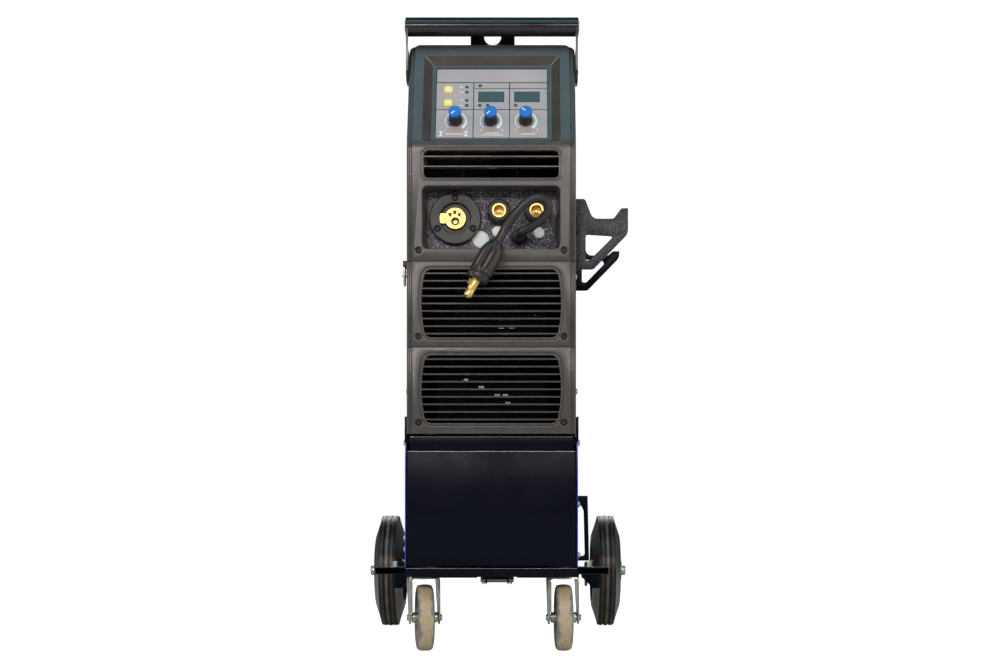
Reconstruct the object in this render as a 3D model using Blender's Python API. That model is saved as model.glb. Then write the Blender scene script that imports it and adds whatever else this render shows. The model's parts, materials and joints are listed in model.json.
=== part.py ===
"""MIG welder on a wheeled cart, as separate named parts.

Lengths are in millimetres and become metres when a mesh is made. Design coordinates: X to the right
as seen from the front, Y back from the face of the plastic bezels, Z up from the floor. MIDDLE_Y moves
everything so that the origin lies on the floor at the middle of the cart's length.
"""

import math

import bmesh
import bpy
from mathutils import Matrix, Vector

MM = 0.001
GAP = 0.3
RIGHT, LEFT = 1, -1

# Cart
CART_LENGTH = 760.0
KNOB_REACH = 1.7
MIDDLE_Y = (CART_LENGTH - KNOB_REACH) / 2
TRAY_HALF = 127.0
TRAY_TOP = 126.0
TRAY_SHEET = 2.5
LIP_BOTTOM = 112.8
FLANGE_BOTTOM = 112.0
EAR_HALF = 174.5
EAR_BOTTOM = 115.6
EAR_Y = (38.0, 62.0)
REAR_LIP_TOP = 150.0
PAD_TOP = 128.0

# Rear wheels and axle
WHEEL_R = 101.6
WHEEL_X = 198.0
WHEEL_HALF_WIDTH = 25.6
HUB_END = 27.6
AXLE_Y = 588.0
AXLE_R = 8.0
AXLE_END = 236.0
BAR_HALF = 165.0
BAR_TOP = 111.6
BAR_FRONT = 476.0
BRACKET_X = 160.0
PIN_Y = 486.0
PIN_Z = 88.2
PIN_R = 4.9

# Swivel casters
CASTER_X = 106.0
SWIVEL_Y = 87.0
CASTER_TRAIL = 32.0
CASTER_R = 50.0
CASTER_YAW = {LEFT: math.radians(8.0), RIGHT: math.radians(2.5)}
CROWN_TOP = 111.0
FORK_HALF = 23.2

# Cabinet under the welder
CABINET_FRONT = 8.0
BODY_BACK = 520.0
CABINET_TOP = 321.0

# Upper edge of each cable hook, from its outer end to the foot of its inner slope
FRONT_CRADLE = ((206.4, 670.7), (196.0, 670.7), (184.0, 655.0), (155.0, 655.0))
REAR_CRADLE = ((206.4, 643.2), (195.0, 643.2), (187.0, 636.2), (153.0, 636.2))

# Welder housing
BODY_HALF = 125.0
SHEET = 2.0
BODY_BOTTOM = 321.3
BEZEL_BOTTOM = 323.3
BEZEL_DEPTH = 30.0
BEZEL_WALL = 3.0
LOWER_TOP = 451.0
MIDDLE_TOP = 577.0
BEZEL_TOP = 917.0
COVER_TOP = 908.0
DOOR_TOP = 888.0
DOOR_NOTCH_Y = 94.0
DOOR_NOTCH_Z = 852.0
LEAN = math.radians(22.0)
LEAN_START = 742.0
LEAN_BLEND = 20.0

FAN_Z = 407.5

# Connector bay
BAY_HALF = 101.0
BAY_BACK_HALF = 96.0
BAY_BOTTOM = 595.0
BAY_TOP = 687.0
PLATE_Y = 40.0

# Control panel: its label leans back with the face
LABEL_FOOT = Vector((0.0, 14.0, 761.2))
LABEL_LONG = 123.6
KNOB_X = (-53.6, -1.3, 50.7)
KNOB_UP = 30.0
KNOB_R = 9.8
BUTTON_X = -65.1
BUTTON_UP = (86.0, 62.0)

SWITCH_TILT = math.radians(8.0)

# Door latch
LATCH_Y = 76.0
LATCH_PIVOT = Vector((-133.0, LATCH_Y, 583.0))

# Polarity lead: points along its centre line, from the gland to the plug
LEAD_R = 6.4
LEAD_ROUTE = (
    (41.0, 19.5, 619.0),
    (41.0, 12.0, 619.0),
    (42.0, 6.0, 619.2),
    (48.0, -2.5, 621.0),
    (60.0, -10.0, 626.0),
    (74.0, -16.0, 635.5),
    (83.5, -21.0, 648.0),
    (80.5, -26.5, 660.0),
    (66.0, -31.0, 663.5),
    (50.0, -32.5, 655.0),
    (37.0, -31.0, 641.5),
    (27.0, -28.3, 629.0),
)
PLUG_TOP = Vector((10.2, -28.0, 600.5))
PLUG_AXIS = Vector((-0.475, -0.108, -0.873)).normalized()
LEAD_STRAIGHT = (17.0, 8.0, 0.4)
PLUG_LONG = 66.0
PIN_LONG = 27.0


def clear_scene():
    for old in list(bpy.data.objects):
        bpy.data.objects.remove(old)


def paint(name, colour, roughness, metallic=0.0):
    """A Principled BSDF material, made once and then shared."""
    material = bpy.data.materials.get(name)
    if material is None:
        material = bpy.data.materials.new(name)
        material.use_nodes = True
        shader = material.node_tree.nodes["Principled BSDF"]
        shader.inputs["Base Color"].default_value = (*colour, 1.0)
        shader.inputs["Roughness"].default_value = roughness
        shader.inputs["Metallic"].default_value = metallic
    return material


BLACK_PLASTIC = ("black_plastic", (0.028, 0.025, 0.024), 0.45)
BLACK_PAINT = ("black_paint", (0.01, 0.01, 0.012), 0.3)
BLUE_PAINT = ("blue_paint", (0.01, 0.03, 0.3), 0.35)
SPECKLE_PAINT = ("speckle_paint", (0.12, 0.11, 0.13), 0.5)
LABEL = ("label", (0.35, 0.35, 0.36), 0.4)
BLUE_PLASTIC = ("blue_plastic", (0.0, 0.15, 0.7), 0.35)
YELLOW_PLASTIC = ("yellow_plastic", (0.85, 0.75, 0.12), 0.4)
BRASS = ("brass", (0.8, 0.58, 0.2), 0.3, 1.0)
ZINC = ("zinc", (0.55, 0.57, 0.52), 0.35, 1.0)
RUBBER = ("rubber", (0.03, 0.028, 0.026), 0.75)
GREY_RUBBER = ("grey_rubber", (0.2, 0.19, 0.18), 0.7)
ALUMINIUM = ("aluminium", (0.6, 0.6, 0.6), 0.4, 1.0)
COPPER_WIRE = ("copper_wire", (0.7, 0.35, 0.2), 0.35, 1.0)


def new_part(name, bm, coat, origin=(0.0, 0.0, 0.0), turn=None):
    """An object from a mesh in design millimetres, with its own origin and an optional turn about it."""
    bmesh.ops.recalc_face_normals(bm, faces=bm.faces)
    origin = Vector(origin)
    bm.transform(Matrix.Scale(MM, 4) @ Matrix.Translation(-origin))
    mesh = bpy.data.meshes.new(name)
    bm.to_mesh(mesh)
    bm.free()
    mesh.shade_smooth()
    mesh.set_sharp_from_angle(angle=math.radians(35))
    part = bpy.data.objects.new(name, mesh)
    bpy.context.scene.collection.objects.link(part)
    part.location = (origin - Vector((0.0, MIDDLE_Y, 0.0))) * MM
    if turn is not None:
        part.rotation_euler = turn.to_euler()
    mesh.materials.append(paint(*coat))
    return part


def helper(part):
    """Marks an object as a tool for a Boolean, which isn't part of the welder."""
    part.hide_render = True
    part.display_type = "WIRE"
    return part


def combine(part, other, operation):
    modifier = part.modifiers.new(operation.lower(), "BOOLEAN")
    modifier.operation = operation
    modifier.solver = "EXACT"
    modifier.object = helper(other)


def cut(part, *others):
    for other in others:
        combine(part, other, "DIFFERENCE")


def join(part, *others):
    for other in others:
        combine(part, other, "UNION")


def prism(outline, axis, low, high):
    """A closed outline pushed along an axis: the outline lists the two other coordinates in X, Y, Z order."""
    bm = bmesh.new()
    where = "XYZ".index(axis)

    def point(pair, along):
        full = list(pair)
        full.insert(where, along)
        return Vector(full)

    bottom = [bm.verts.new(point(pair, low)) for pair in outline]
    top = [bm.verts.new(point(pair, high)) for pair in outline]
    bm.faces.new(bottom)
    bm.faces.new(top[::-1])
    for i, corner in enumerate(bottom):
        after = (i + 1) % len(bottom)
        bm.faces.new((corner, bottom[after], top[after], top[i]))
    return bm


def block(x, y, z):
    """A box from three (low, high) pairs."""
    return prism(((x[0], y[0]), (x[1], y[0]), (x[1], y[1]), (x[0], y[1])), "Z", *z)


def blocks(boxes):
    """Separate boxes in one mesh, for a cutter."""
    bm = bmesh.new()
    for x, y, z in boxes:
        corners = [
            [bm.verts.new((x[0], y[0], c)), bm.verts.new((x[1], y[0], c))]
            + [bm.verts.new((x[1], y[1], c)), bm.verts.new((x[0], y[1], c))]
            for c in z
        ]
        bm.faces.new(corners[0][::-1])
        bm.faces.new(corners[1])
        for i in range(4):
            after = (i + 1) % 4
            bm.faces.new((corners[0][i], corners[0][after], corners[1][after], corners[1][i]))
    return bm


def turned(profile, centre, axis, segments=24):
    """A closed (radius, along) profile turned about an axis through the centre. A radius of 0 is a pole."""
    bm = bmesh.new()
    spin = Vector((0.0, 0.0, 1.0)).rotation_difference(Vector(axis)).to_matrix()
    centre = Vector(centre)
    rings = []
    for radius, along in profile:
        if radius == 0.0:
            rings.append([bm.verts.new(centre + spin @ Vector((0.0, 0.0, along)))])
            continue
        ring = []
        for i in range(segments):
            angle = 2 * math.pi * i / segments
            local = Vector((radius * math.cos(angle), radius * math.sin(angle), along))
            ring.append(bm.verts.new(centre + spin @ local))
        rings.append(ring)
    pairs = list(zip(rings, rings[1:]))
    if len(rings[0]) > 1:
        pairs.append((rings[-1], rings[0]))
    for one, two in pairs:
        for i in range(segments):
            after = (i + 1) % segments
            corners = []
            for ring, j in ((one, i), (one, after), (two, after), (two, i)):
                corner = ring[j % len(ring)]
                if corner not in corners:
                    corners.append(corner)
            bm.faces.new(corners)
    return bm


def rod(radius, start, end, segments=16):
    """A plain round bar between two points."""
    start, end = Vector(start), Vector(end)
    long = (end - start).length
    profile = ((0.0, 0.0), (radius, 0.0), (radius, long), (0.0, long))
    return turned(profile, start, (end - start).normalized(), segments)


def arc(centre, radius, start, end, steps):
    """Points on an arc, with angles in degrees."""
    points = []
    for i in range(steps + 1):
        angle = math.radians(start + (end - start) * i / steps)
        points.append((centre[0] + radius * math.cos(angle), centre[1] + radius * math.sin(angle)))
    return points


def face_y(z):
    """Depth of the upper bezel's face at a height: upright, then a soft bend, then leaning back."""
    slope = math.tan(LEAN)
    rise = z - LEAN_START
    if rise <= 0:
        return 0.0
    if rise < LEAN_BLEND:
        return slope * rise * rise / (2 * LEAN_BLEND)
    return slope * (rise - LEAN_BLEND / 2)


LABEL_UP = Vector((0.0, math.sin(LEAN), math.cos(LEAN)))
LABEL_OUT = Vector((0.0, -math.cos(LEAN), math.sin(LEAN)))


def on_label(x, up, out):
    """A point in the label's own frame: across, up along it and out from it."""
    return LABEL_FOOT + Vector((x, 0.0, 0.0)) + LABEL_UP * up + LABEL_OUT * out


def label_block(x, up, out, far_x=None, far_up=None):
    """A box, or a frustum with another outline at its outer end, in the label's frame."""
    far_x = far_x or x
    far_up = far_up or up
    bm = bmesh.new()
    rings = []
    for level, across, along in ((out[0], x, up), (out[1], far_x, far_up)):
        corners = ((across[0], along[0]), (across[1], along[0]), (across[1], along[1]), (across[0], along[1]))
        rings.append([bm.verts.new(on_label(a, b, level)) for a, b in corners])
    bm.faces.new(rings[0][::-1])
    bm.faces.new(rings[1])
    for i in range(4):
        after = (i + 1) % 4
        bm.faces.new((rings[0][i], rings[0][after], rings[1][after], rings[1][i]))
    return bm


# ---------------------------------------------------------------- cart


def make_tray():
    outline = (
        (0.0, LIP_BOTTOM),
        (TRAY_SHEET, LIP_BOTTOM),
        (TRAY_SHEET, TRAY_TOP - TRAY_SHEET),
        (CART_LENGTH, TRAY_TOP - TRAY_SHEET),
        (CART_LENGTH, REAR_LIP_TOP),
        (CART_LENGTH - TRAY_SHEET, REAR_LIP_TOP),
        (CART_LENGTH - TRAY_SHEET, TRAY_TOP),
        (0.0, TRAY_TOP),
    )
    tray = new_part("chassis_tray", prism(outline, "X", -TRAY_HALF, TRAY_HALF), BLACK_PAINT)
    for side in (LEFT, RIGHT):
        edges = sorted((side * (TRAY_HALF - 0.2), side * (TRAY_HALF - 0.2 - TRAY_SHEET)))
        flange = block(edges, (150.0, CART_LENGTH - 8.0), (FLANGE_BOTTOM, TRAY_TOP - 1.0))
        join(tray, new_part("tray_flange", flange, BLACK_PAINT))
    pad = block((-100.0, 100.0), (535.0, 745.0), (TRAY_TOP - 1.0, PAD_TOP))
    join(tray, new_part("cylinder_pad", pad, BLACK_PAINT))
    ears = block((-EAR_HALF, EAR_HALF), EAR_Y, (EAR_BOTTOM, TRAY_TOP))
    join(tray, new_part("tray_ears", ears, BLACK_PAINT))
    for side in (LEFT, RIGHT):
        edges = sorted((side * (TRAY_HALF + 3.0), side * (EAR_HALF - 1.5)))
        hollow = block(edges, (EAR_Y[0] - 5.0, EAR_Y[1] - 2.0), (EAR_BOTTOM + 1.5, TRAY_TOP - 1.5))
        cut(tray, new_part("ear_hollow", hollow, BLACK_PAINT))


def make_tow_pin():
    pin = new_part("tow_pin", rod(PIN_R, (-30.0, PIN_Y, PIN_Z), (30.0, PIN_Y, PIN_Z)), ZINC)
    for x in (-26.0, 26.0):
        join(pin, new_part("split_pin", rod(1.3, (x, PIN_Y, 80.0), (x, PIN_Y, 96.5), 8), ZINC))


def make_rear_bar():
    """Axle carrier under the tray: a bar arched over the pin, with gussets, axle brackets and the pin's lugs."""
    outline = (
        (-BAR_HALF, 98.0),
        (-BAR_HALF, BAR_TOP),
        (BAR_HALF, BAR_TOP),
        (BAR_HALF, 98.0),
        (146.0, 98.0),
        (146.0, 92.0),
        (35.5, 92.0),
        (35.5, 104.0),
        (-35.5, 104.0),
        (-35.5, 92.0),
        (-146.0, 92.0),
        (-146.0, 98.0),
    )
    bar = new_part("rear_cross_bar", prism(outline, "Y", BAR_FRONT, BAR_FRONT + 20.0), BLACK_PAINT)
    bracket = (
        (BAR_FRONT + 2.0, 98.5),
        (BAR_FRONT + 2.0, BAR_TOP - 0.5),
        (AXLE_Y + 20.0, BAR_TOP + 4.0),
        (AXLE_Y + 20.0, 88.0),
        (AXLE_Y + 6.0, 73.0),
        (AXLE_Y - 16.0, 73.0),
        (BAR_FRONT + 34.0, 98.5),
    )
    for side in (LEFT, RIGHT):
        edges = sorted((side * BRACKET_X, side * (BRACKET_X + 4.5)))
        join(bar, new_part("axle_bracket", prism(bracket, "X", *edges), BLACK_PAINT))
        gusset = ((150.0, 93.0), (157.0, 88.0), (169.0, 74.0), (183.0, 74.0), (183.0, BAR_TOP), (150.0, BAR_TOP))
        gusset = [(side * x, z) for x, z in gusset]
        join(bar, new_part("gusset", prism(gusset, "Y", BAR_FRONT, BAR_FRONT + 4.0), BLACK_PAINT))
        edges = sorted((side * 18.0, side * 21.0))
        lug = block(edges, (BAR_FRONT + 1.0, BAR_FRONT + 19.0), (81.5, 106.0))
        join(bar, new_part("pin_lug", lug, BLACK_PAINT))
    bore = rod(AXLE_R + GAP, (-200.0, AXLE_Y, WHEEL_R), (200.0, AXLE_Y, WHEEL_R))
    cut(bar, new_part("axle_bore", bore, BLACK_PAINT))
    bore = rod(PIN_R + GAP, (-40.0, PIN_Y, PIN_Z), (40.0, PIN_Y, PIN_Z))
    cut(bar, new_part("pin_bore", bore, BLACK_PAINT))


def make_axle():
    half = (
        (0.0, AXLE_END),
        (7.0, AXLE_END),
        (9.5, AXLE_END - 1.5),
        (9.5, 228.6),
        (18.0, 228.2),
        (18.0, WHEEL_X + HUB_END + GAP),
        (AXLE_R, WHEEL_X + HUB_END + GAP),
    )
    profile = list(half) + [(r, -x) for r, x in half[::-1]]
    new_part("rear_axle", turned(profile, (0.0, AXLE_Y, WHEEL_R), (1, 0, 0)), ZINC)


def make_rear_wheel(name, side):
    half = WHEEL_HALF_WIDTH
    profile = (
        (AXLE_R + GAP, -half),
        (19.0, -half),
        (21.0, -half + 6.0),
        (21.0, -5.0),
        (60.0, -5.0),
        (62.0, -half + 2.0),
        (65.0, -half),
        (70.0, -24.3),
        (83.0, -20.0),
        (95.0, -16.0),
        (WHEEL_R, -14.5),
        (WHEEL_R, 14.5),
        (95.0, 16.0),
        (83.0, 20.0),
        (70.0, 24.3),
        (65.0, half),
        (62.0, half - 2.0),
        (60.0, 5.0),
        (21.0, 5.0),
        (19.0, HUB_END),
        (AXLE_R + GAP, HUB_END),
    )
    hub = (side * WHEEL_X, AXLE_Y, WHEEL_R)
    new_part(name, turned(profile, hub, (side, 0, 0), 40), RUBBER, hub)


def make_caster(side, tag):
    swivel = Vector((side * CASTER_X, SWIVEL_Y, 0.0))
    race = (
        (0.0, CROWN_TOP + GAP),
        (17.0, CROWN_TOP + GAP),
        (20.5, CROWN_TOP + 4.0),
        (20.5, TRAY_TOP - TRAY_SHEET - GAP),
        (0.0, TRAY_TOP - TRAY_SHEET - GAP),
    )
    new_part("caster_plate_" + tag, turned(race, swivel, (0, 0, 1)), ZINC)
    yaw = Matrix.Rotation(CASTER_YAW[side], 4, "Z")
    axle = swivel + Vector((0.0, -CASTER_TRAIL, CASTER_R))
    side_plate = [
        (axle.y - 4.0, CROWN_TOP),
        (swivel.y + 22.0, CROWN_TOP),
        (swivel.y + 22.0, CROWN_TOP - 8.0),
        (swivel.y - 8.0, CASTER_R + 4.0),
    ]
    side_plate += arc((axle.y, axle.z), 11.0, -20.0, -200.0, 6)
    outer = block(
        (swivel.x - FORK_HALF, swivel.x + FORK_HALF),
        (axle.y - 4.0, swivel.y + 22.0),
        (CROWN_TOP - 3.0, CROWN_TOP),
    )
    fork = new_part("caster_fork_" + tag, outer, ZINC, swivel, yaw)
    tools = []
    for edge in (LEFT, RIGHT):
        across = sorted((swivel.x + edge * FORK_HALF, swivel.x + edge * (FORK_HALF - 2.5)))
        tools.append(new_part("fork_side", prism(side_plate, "X", *across), ZINC, swivel, yaw))
    across = Vector((28.0, 0.0, 0.0))
    tools.append(new_part("fork_bolt", rod(5.0, axle - across, axle + across), ZINC, swivel, yaw))
    join(fork, *tools)
    profile = (
        (5.0 + GAP, -19.0),
        (8.0, -19.0),
        (9.0, -7.0),
        (36.0, -7.0),
        (39.0, -12.4),
        (45.0, -12.4),
        (49.0, -10.0),
        (CASTER_R, -6.0),
        (CASTER_R, 6.0),
        (49.0, 10.0),
        (45.0, 12.4),
        (39.0, 12.4),
        (36.0, 7.0),
        (9.0, 7.0),
        (8.0, 19.0),
        (5.0 + GAP, 19.0),
    )
    trail = yaw @ (axle - swivel)
    hub = swivel + trail
    wheel = turned(profile, hub, (1, 0, 0), 28)
    new_part("caster_wheel_" + tag, wheel, GREY_RUBBER, hub, yaw)


def make_side_bracket():
    """Slotted bracket low on the right: two arms out from the cabinet to an upright bar."""
    outer = ((128.4, 128.0), (128.4, 236.1), (154.0, 236.1), (156.4, 128.0))
    slot = ((137.0, 136.0), (137.0, 225.0), (143.5, 219.0), (147.2, 211.0), (149.2, 136.0))
    bracket = new_part("side_bracket", prism(outer, "Y", 298.0, 303.0), BLACK_PAINT)
    flange = block((128.4, 131.0), (300.0, 330.0), (129.0, 235.0))
    join(bracket, new_part("bracket_flange", flange, BLACK_PAINT))
    cut(bracket, new_part("bracket_slot", prism(slot, "Y", 290.0, 310.0), BLACK_PAINT))


def make_cradle():
    """Plate on the back of the welder with a round notch that a gas cylinder leans into."""
    back = BODY_BACK + SHEET + 2 * GAP
    notch = arc((0.0, back + 112.0), 90.0, -150.0, -30.0, 12)
    outline = [(-100.0, back), (-100.0, back + 70.0)] + notch + [(100.0, back + 70.0), (100.0, back)]
    cradle = new_part("cylinder_cradle", prism(outline, "Z", 640.0, 643.0), BLACK_PAINT)
    flange = block((-100.0, 100.0), (back, back + 3.0), (615.0, 642.0))
    join(cradle, new_part("cradle_flange", flange, BLACK_PAINT))
    for x in (-90.0, 90.0):
        slot = block((x - 3.0, x + 3.0), (back + 30.0, back + 50.0), (630.0, 650.0))
        cut(cradle, new_part("chain_slot", slot, BLACK_PAINT))


# ---------------------------------------------------------------- cabinet


def make_cabinet():
    front = CABINET_FRONT
    u_shape = (
        (-124.0, front),
        (124.0, front),
        (124.0, front + 20.0),
        (122.5, front + 20.0),
        (122.5, front + 2.0),
        (-122.5, front + 2.0),
        (-122.5, front + 20.0),
        (-124.0, front + 20.0),
    )
    low = TRAY_TOP + GAP
    new_part("cabinet_front", prism(u_shape, "Z", low + 2.0, 298.0), BLACK_PAINT)
    side_outline = (
        (front + 5.0, low),
        (BODY_BACK, low),
        (BODY_BACK, 319.0),
        (62.0, 319.0),
        (62.0, 311.5),
        (front + 5.0, 311.5),
    )
    for side, tag in ((LEFT, "l"), (RIGHT, "r")):
        edges = sorted((side * 126.0, side * 128.0))
        new_part("cabinet_side_" + tag, prism(side_outline, "X", *edges), BLUE_PAINT)
    rail = block((-120.5, 120.5), (12.0, BODY_BACK), (298.6, CABINET_TOP - 0.1))
    frame = new_part("cabinet_frame", rail, BLACK_PAINT)
    for side in (LEFT, RIGHT):
        tab = block(sorted((side * 119.0, side * 129.0)), (22.0, 58.0), (312.5, 320.5))
        lug = block(sorted((side * 126.0, side * 129.0)), (22.0, 58.0), (312.0, 350.0))
        join(frame, new_part("lug_tab", tab, BLACK_PAINT), new_part("corner_lug", lug, BLACK_PAINT))
    back = block((-122.0, 122.0), (BODY_BACK - 4.0, BODY_BACK - 2.0), (low, 299.0))
    join(frame, new_part("frame_back", back, BLACK_PAINT))
    inside = block((-105.0, 105.0), (14.5, 480.0), (290.0, 330.0))
    cut(frame, new_part("frame_inside", inside, BLACK_PAINT))


# ---------------------------------------------------------------- housing


def make_base():
    half = BODY_HALF - SHEET - 0.4
    low = BODY_BOTTOM
    outline = (
        (-half, low),
        (half, low),
        (half, low + 19.0),
        (half - 2.0, low + 19.0),
        (half - 2.0, low + SHEET),
        (-half + 2.0, low + SHEET),
        (-half + 2.0, low + 19.0),
        (-half, low + 19.0),
    )
    new_part("machine_base", prism(outline, "Y", 44.0, BODY_BACK - 1.0), BLACK_PAINT)


def cover_front(z):
    """Front edge of the metal covers, just behind the bezels."""
    return BEZEL_DEPTH + GAP + face_y(z)


def make_covers():
    half = BODY_HALF
    right = [(BODY_BACK, BODY_BOTTOM), (BODY_BACK, COVER_TOP - SHEET - GAP)]
    right += [(cover_front(z), z) for z in (COVER_TOP - SHEET - GAP, 762.0, 752.0, 742.0, BODY_BOTTOM)]
    new_part("side_cover_r", prism(right, "X", half - SHEET, half), BLACK_PAINT)
    left = block((-half, -half + SHEET), (cover_front(0.0), BODY_BACK), (BODY_BOTTOM, MIDDLE_TOP - GAP))
    cover = new_part("side_cover_l", left, BLACK_PAINT)
    keeper = block((-129.5, -half + 0.5), (LATCH_Y - 8.0, LATCH_Y + 8.0), (552.0, 559.0))
    join(cover, new_part("latch_keeper", keeper, BLACK_PAINT))
    door = [(BODY_BACK - GAP, MIDDLE_TOP + GAP), (BODY_BACK - GAP, DOOR_TOP - GAP)]
    door += [(DOOR_NOTCH_Y, DOOR_TOP - GAP), (DOOR_NOTCH_Y, DOOR_NOTCH_Z)]
    door += [(cover_front(z) + GAP, z) for z in (DOOR_NOTCH_Z, 762.0, 752.0, 742.0, MIDDLE_TOP + GAP)]
    hinge = (-half - 0.2, BODY_BACK / 2, DOOR_TOP)
    new_part("spool_door", prism(door, "X", -half, -half + SHEET), BLACK_PAINT, hinge)
    front = cover_front(COVER_TOP) + 1.0
    top = block((-half, half), (front, BODY_BACK), (COVER_TOP - SHEET, COVER_TOP))
    top = new_part("top_cover", top, BLACK_PAINT)
    skirt = [(BODY_BACK, COVER_TOP - 0.5), (BODY_BACK, DOOR_TOP + GAP)]
    skirt += [(DOOR_NOTCH_Y - GAP, DOOR_TOP + GAP), (DOOR_NOTCH_Y - GAP, DOOR_NOTCH_Z + GAP)]
    skirt += [(cover_front(z) + GAP, z) for z in (DOOR_NOTCH_Z + GAP, COVER_TOP - 0.5)]
    join(top, new_part("door_skirt", prism(skirt, "X", -half, -half + SHEET), BLACK_PAINT))


def make_back_panel():
    near = BODY_BACK + GAP
    back = new_part(
        "back_panel",
        block((-BODY_HALF, BODY_HALF), (near, near + SHEET), (BODY_BOTTOM, COVER_TOP)),
        BLACK_PAINT,
    )
    slots = [
        ((-52.0, 52.0), (near - 5.0, near + 10.0), (z - 4.0, z + 4.0))
        for z in (FAN_Z - 52.5 + 15.0 * i for i in range(8))
    ]
    openings = slots + [((-100.0, -72.0), (near - 5.0, near + 10.0), (838.0, 872.0))]
    cut(back, new_part("back_openings", blocks(openings), BLACK_PAINT))
    for x, z, radius in ((70.0, 560.0, 6.6), (-70.0, 560.0, 12.6)):
        hole = rod(radius, (x, near - 5.0, z), (x, near + 10.0, z))
        cut(back, new_part("back_hole", hole, BLACK_PAINT))
    boss = rod(14.0, (0.0, 508.4, FAN_Z), (0.0, near + 0.5, FAN_Z))
    join(back, new_part("fan_motor", boss, BLACK_PAINT))


def make_divider():
    """Upright wall and floor of the spool bay, in one folded sheet."""
    outline = (
        (-122.4, MIDDLE_TOP + 0.6),
        (6.0, MIDDLE_TOP + 0.6),
        (6.0, COVER_TOP - SHEET - 1.0),
        (4.0, COVER_TOP - SHEET - 1.0),
        (4.0, MIDDLE_TOP + 2.6),
        (-122.4, MIDDLE_TOP + 2.6),
    )
    new_part("centre_divider", prism(outline, "Y", 110.0, BODY_BACK - 1.0), BLACK_PAINT)


def grille_slots(bottom, top, half, slats, slat):
    """The openings between evenly spaced slats."""
    count = slats + 1
    slot = (top - bottom - slats * slat) / count
    low = [bottom + i * (slot + slat) for i in range(count)]
    return blocks([((-half, half), (-5.0, 10.0), (z, z + slot)) for z in low])


def make_plain_bezel(name, bottom, top, grille):
    half = BODY_HALF
    bezel = new_part(name, block((-half, half), (0.0, BEZEL_DEPTH), (bottom, top)), BLACK_PLASTIC)
    wall = BEZEL_WALL
    inside = block((-half + wall, half - wall), (wall, 40.0), (bottom + wall, top - wall))
    cut(bezel, new_part("bezel_inside", inside, BLACK_PLASTIC))
    cut(bezel, new_part("bezel_slots", grille_slots(*grille, 98.0, 9, 3.0), BLACK_PLASTIC))


def make_upper_bezel():
    half = BODY_HALF
    wall = BEZEL_WALL
    bottom = MIDDLE_TOP + GAP
    heights = (LEAN_START, 752.0, 762.0, 905.0)
    outer = [(0.0, bottom)] + [(face_y(z), z) for z in heights]
    round_top = (face_y(905.0) + 12.0, BEZEL_TOP - 13.0)
    outer += arc(round_top, 13.0, 150.0, 90.0, 3)
    outer += [(cover_front(BEZEL_TOP) - GAP, BEZEL_TOP)]
    outer += [(BEZEL_DEPTH + face_y(z), z) for z in heights[2::-1]] + [(BEZEL_DEPTH, bottom)]
    bezel = new_part("bezel_upper", prism(outer, "X", -half, half), BLACK_PLASTIC)
    inner = [(wall, bottom + wall)] + [(face_y(z) + wall, z) for z in heights[:3]]
    inner += [(face_y(899.0) + wall, 899.0), (face_y(913.0) + 8.0, 913.0), (150.0, 913.0), (150.0, 742.0)]
    inner += [(60.0, 742.0), (60.0, bottom + wall)]
    inside = prism(inner, "X", -half + wall, half - wall)
    cut(bezel, new_part("upper_inside", inside, BLACK_PLASTIC))
    bay = block((-104.0, 104.0), (1.0, PLATE_Y - GAP), (BAY_BOTTOM - 4.0, BAY_TOP + 4.0))
    join(bezel, new_part("bay_frame", bay, BLACK_PLASTIC))
    panel = label_block((-104.0, 104.0), (-14.0, 142.0), (GAP, 7.0))
    join(bezel, new_part("panel_frame", panel, BLACK_PLASTIC))
    opening = prism(
        (
            (-BAY_HALF - 0.2, -2.0),
            (BAY_HALF + 0.2, -2.0),
            (BAY_BACK_HALF, PLATE_Y + 2.0),
            (-BAY_BACK_HALF, PLATE_Y + 2.0),
        ),
        "Z",
        BAY_BOTTOM,
        BAY_TOP,
    )
    cut(bezel, new_part("bay_opening", opening, BLACK_PLASTIC))
    window = label_block(
        (-84.5, 84.5), (-3.0, LABEL_LONG + 3.0), (-3.0, 13.0), (-108.0, 108.0), (-17.5, 146.0)
    )
    cut(bezel, new_part("panel_opening", window, BLACK_PLASTIC))
    cut(bezel, new_part("louvre_slots", grille_slots(697.0, 742.0, 99.0, 2, 3.0), BLACK_PLASTIC))


def make_connector_plate():
    plate = new_part(
        "connector_plate",
        block((-112.0, 112.0), (PLATE_Y, PLATE_Y + 2.0), (583.0, 700.0)),
        SPECKLE_PAINT,
    )
    holes = ((-54.4, 643.7, 24.0), (11.0, 656.0, 14.4), (66.7, 656.0, 14.4), (41.0, 619.0, 9.0))
    for x, z, radius in holes:
        hole = rod(radius, (x, PLATE_Y - 5.0, z), (x, PLATE_Y + 8.0, z), 20)
        cut(plate, new_part("plate_hole", hole, SPECKLE_PAINT))


def make_control_panel():
    panel = new_part(
        "control_panel",
        label_block((-94.0, 94.0), (-9.0, LABEL_LONG + 9.0), (-2.0, 0.0)),
        LABEL,
    )
    for x in KNOB_X:
        hole = rod(3.6, on_label(x, KNOB_UP, -6.0), on_label(x, KNOB_UP, 4.0), 12)
        cut(panel, new_part("knob_hole", hole, LABEL))
    for up in BUTTON_UP:
        hole = label_block((BUTTON_X - 7.3, BUTTON_X + 7.3), (up - 6.8, up + 6.8), (-6.0, 4.0))
        cut(panel, new_part("button_hole", hole, LABEL))


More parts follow.
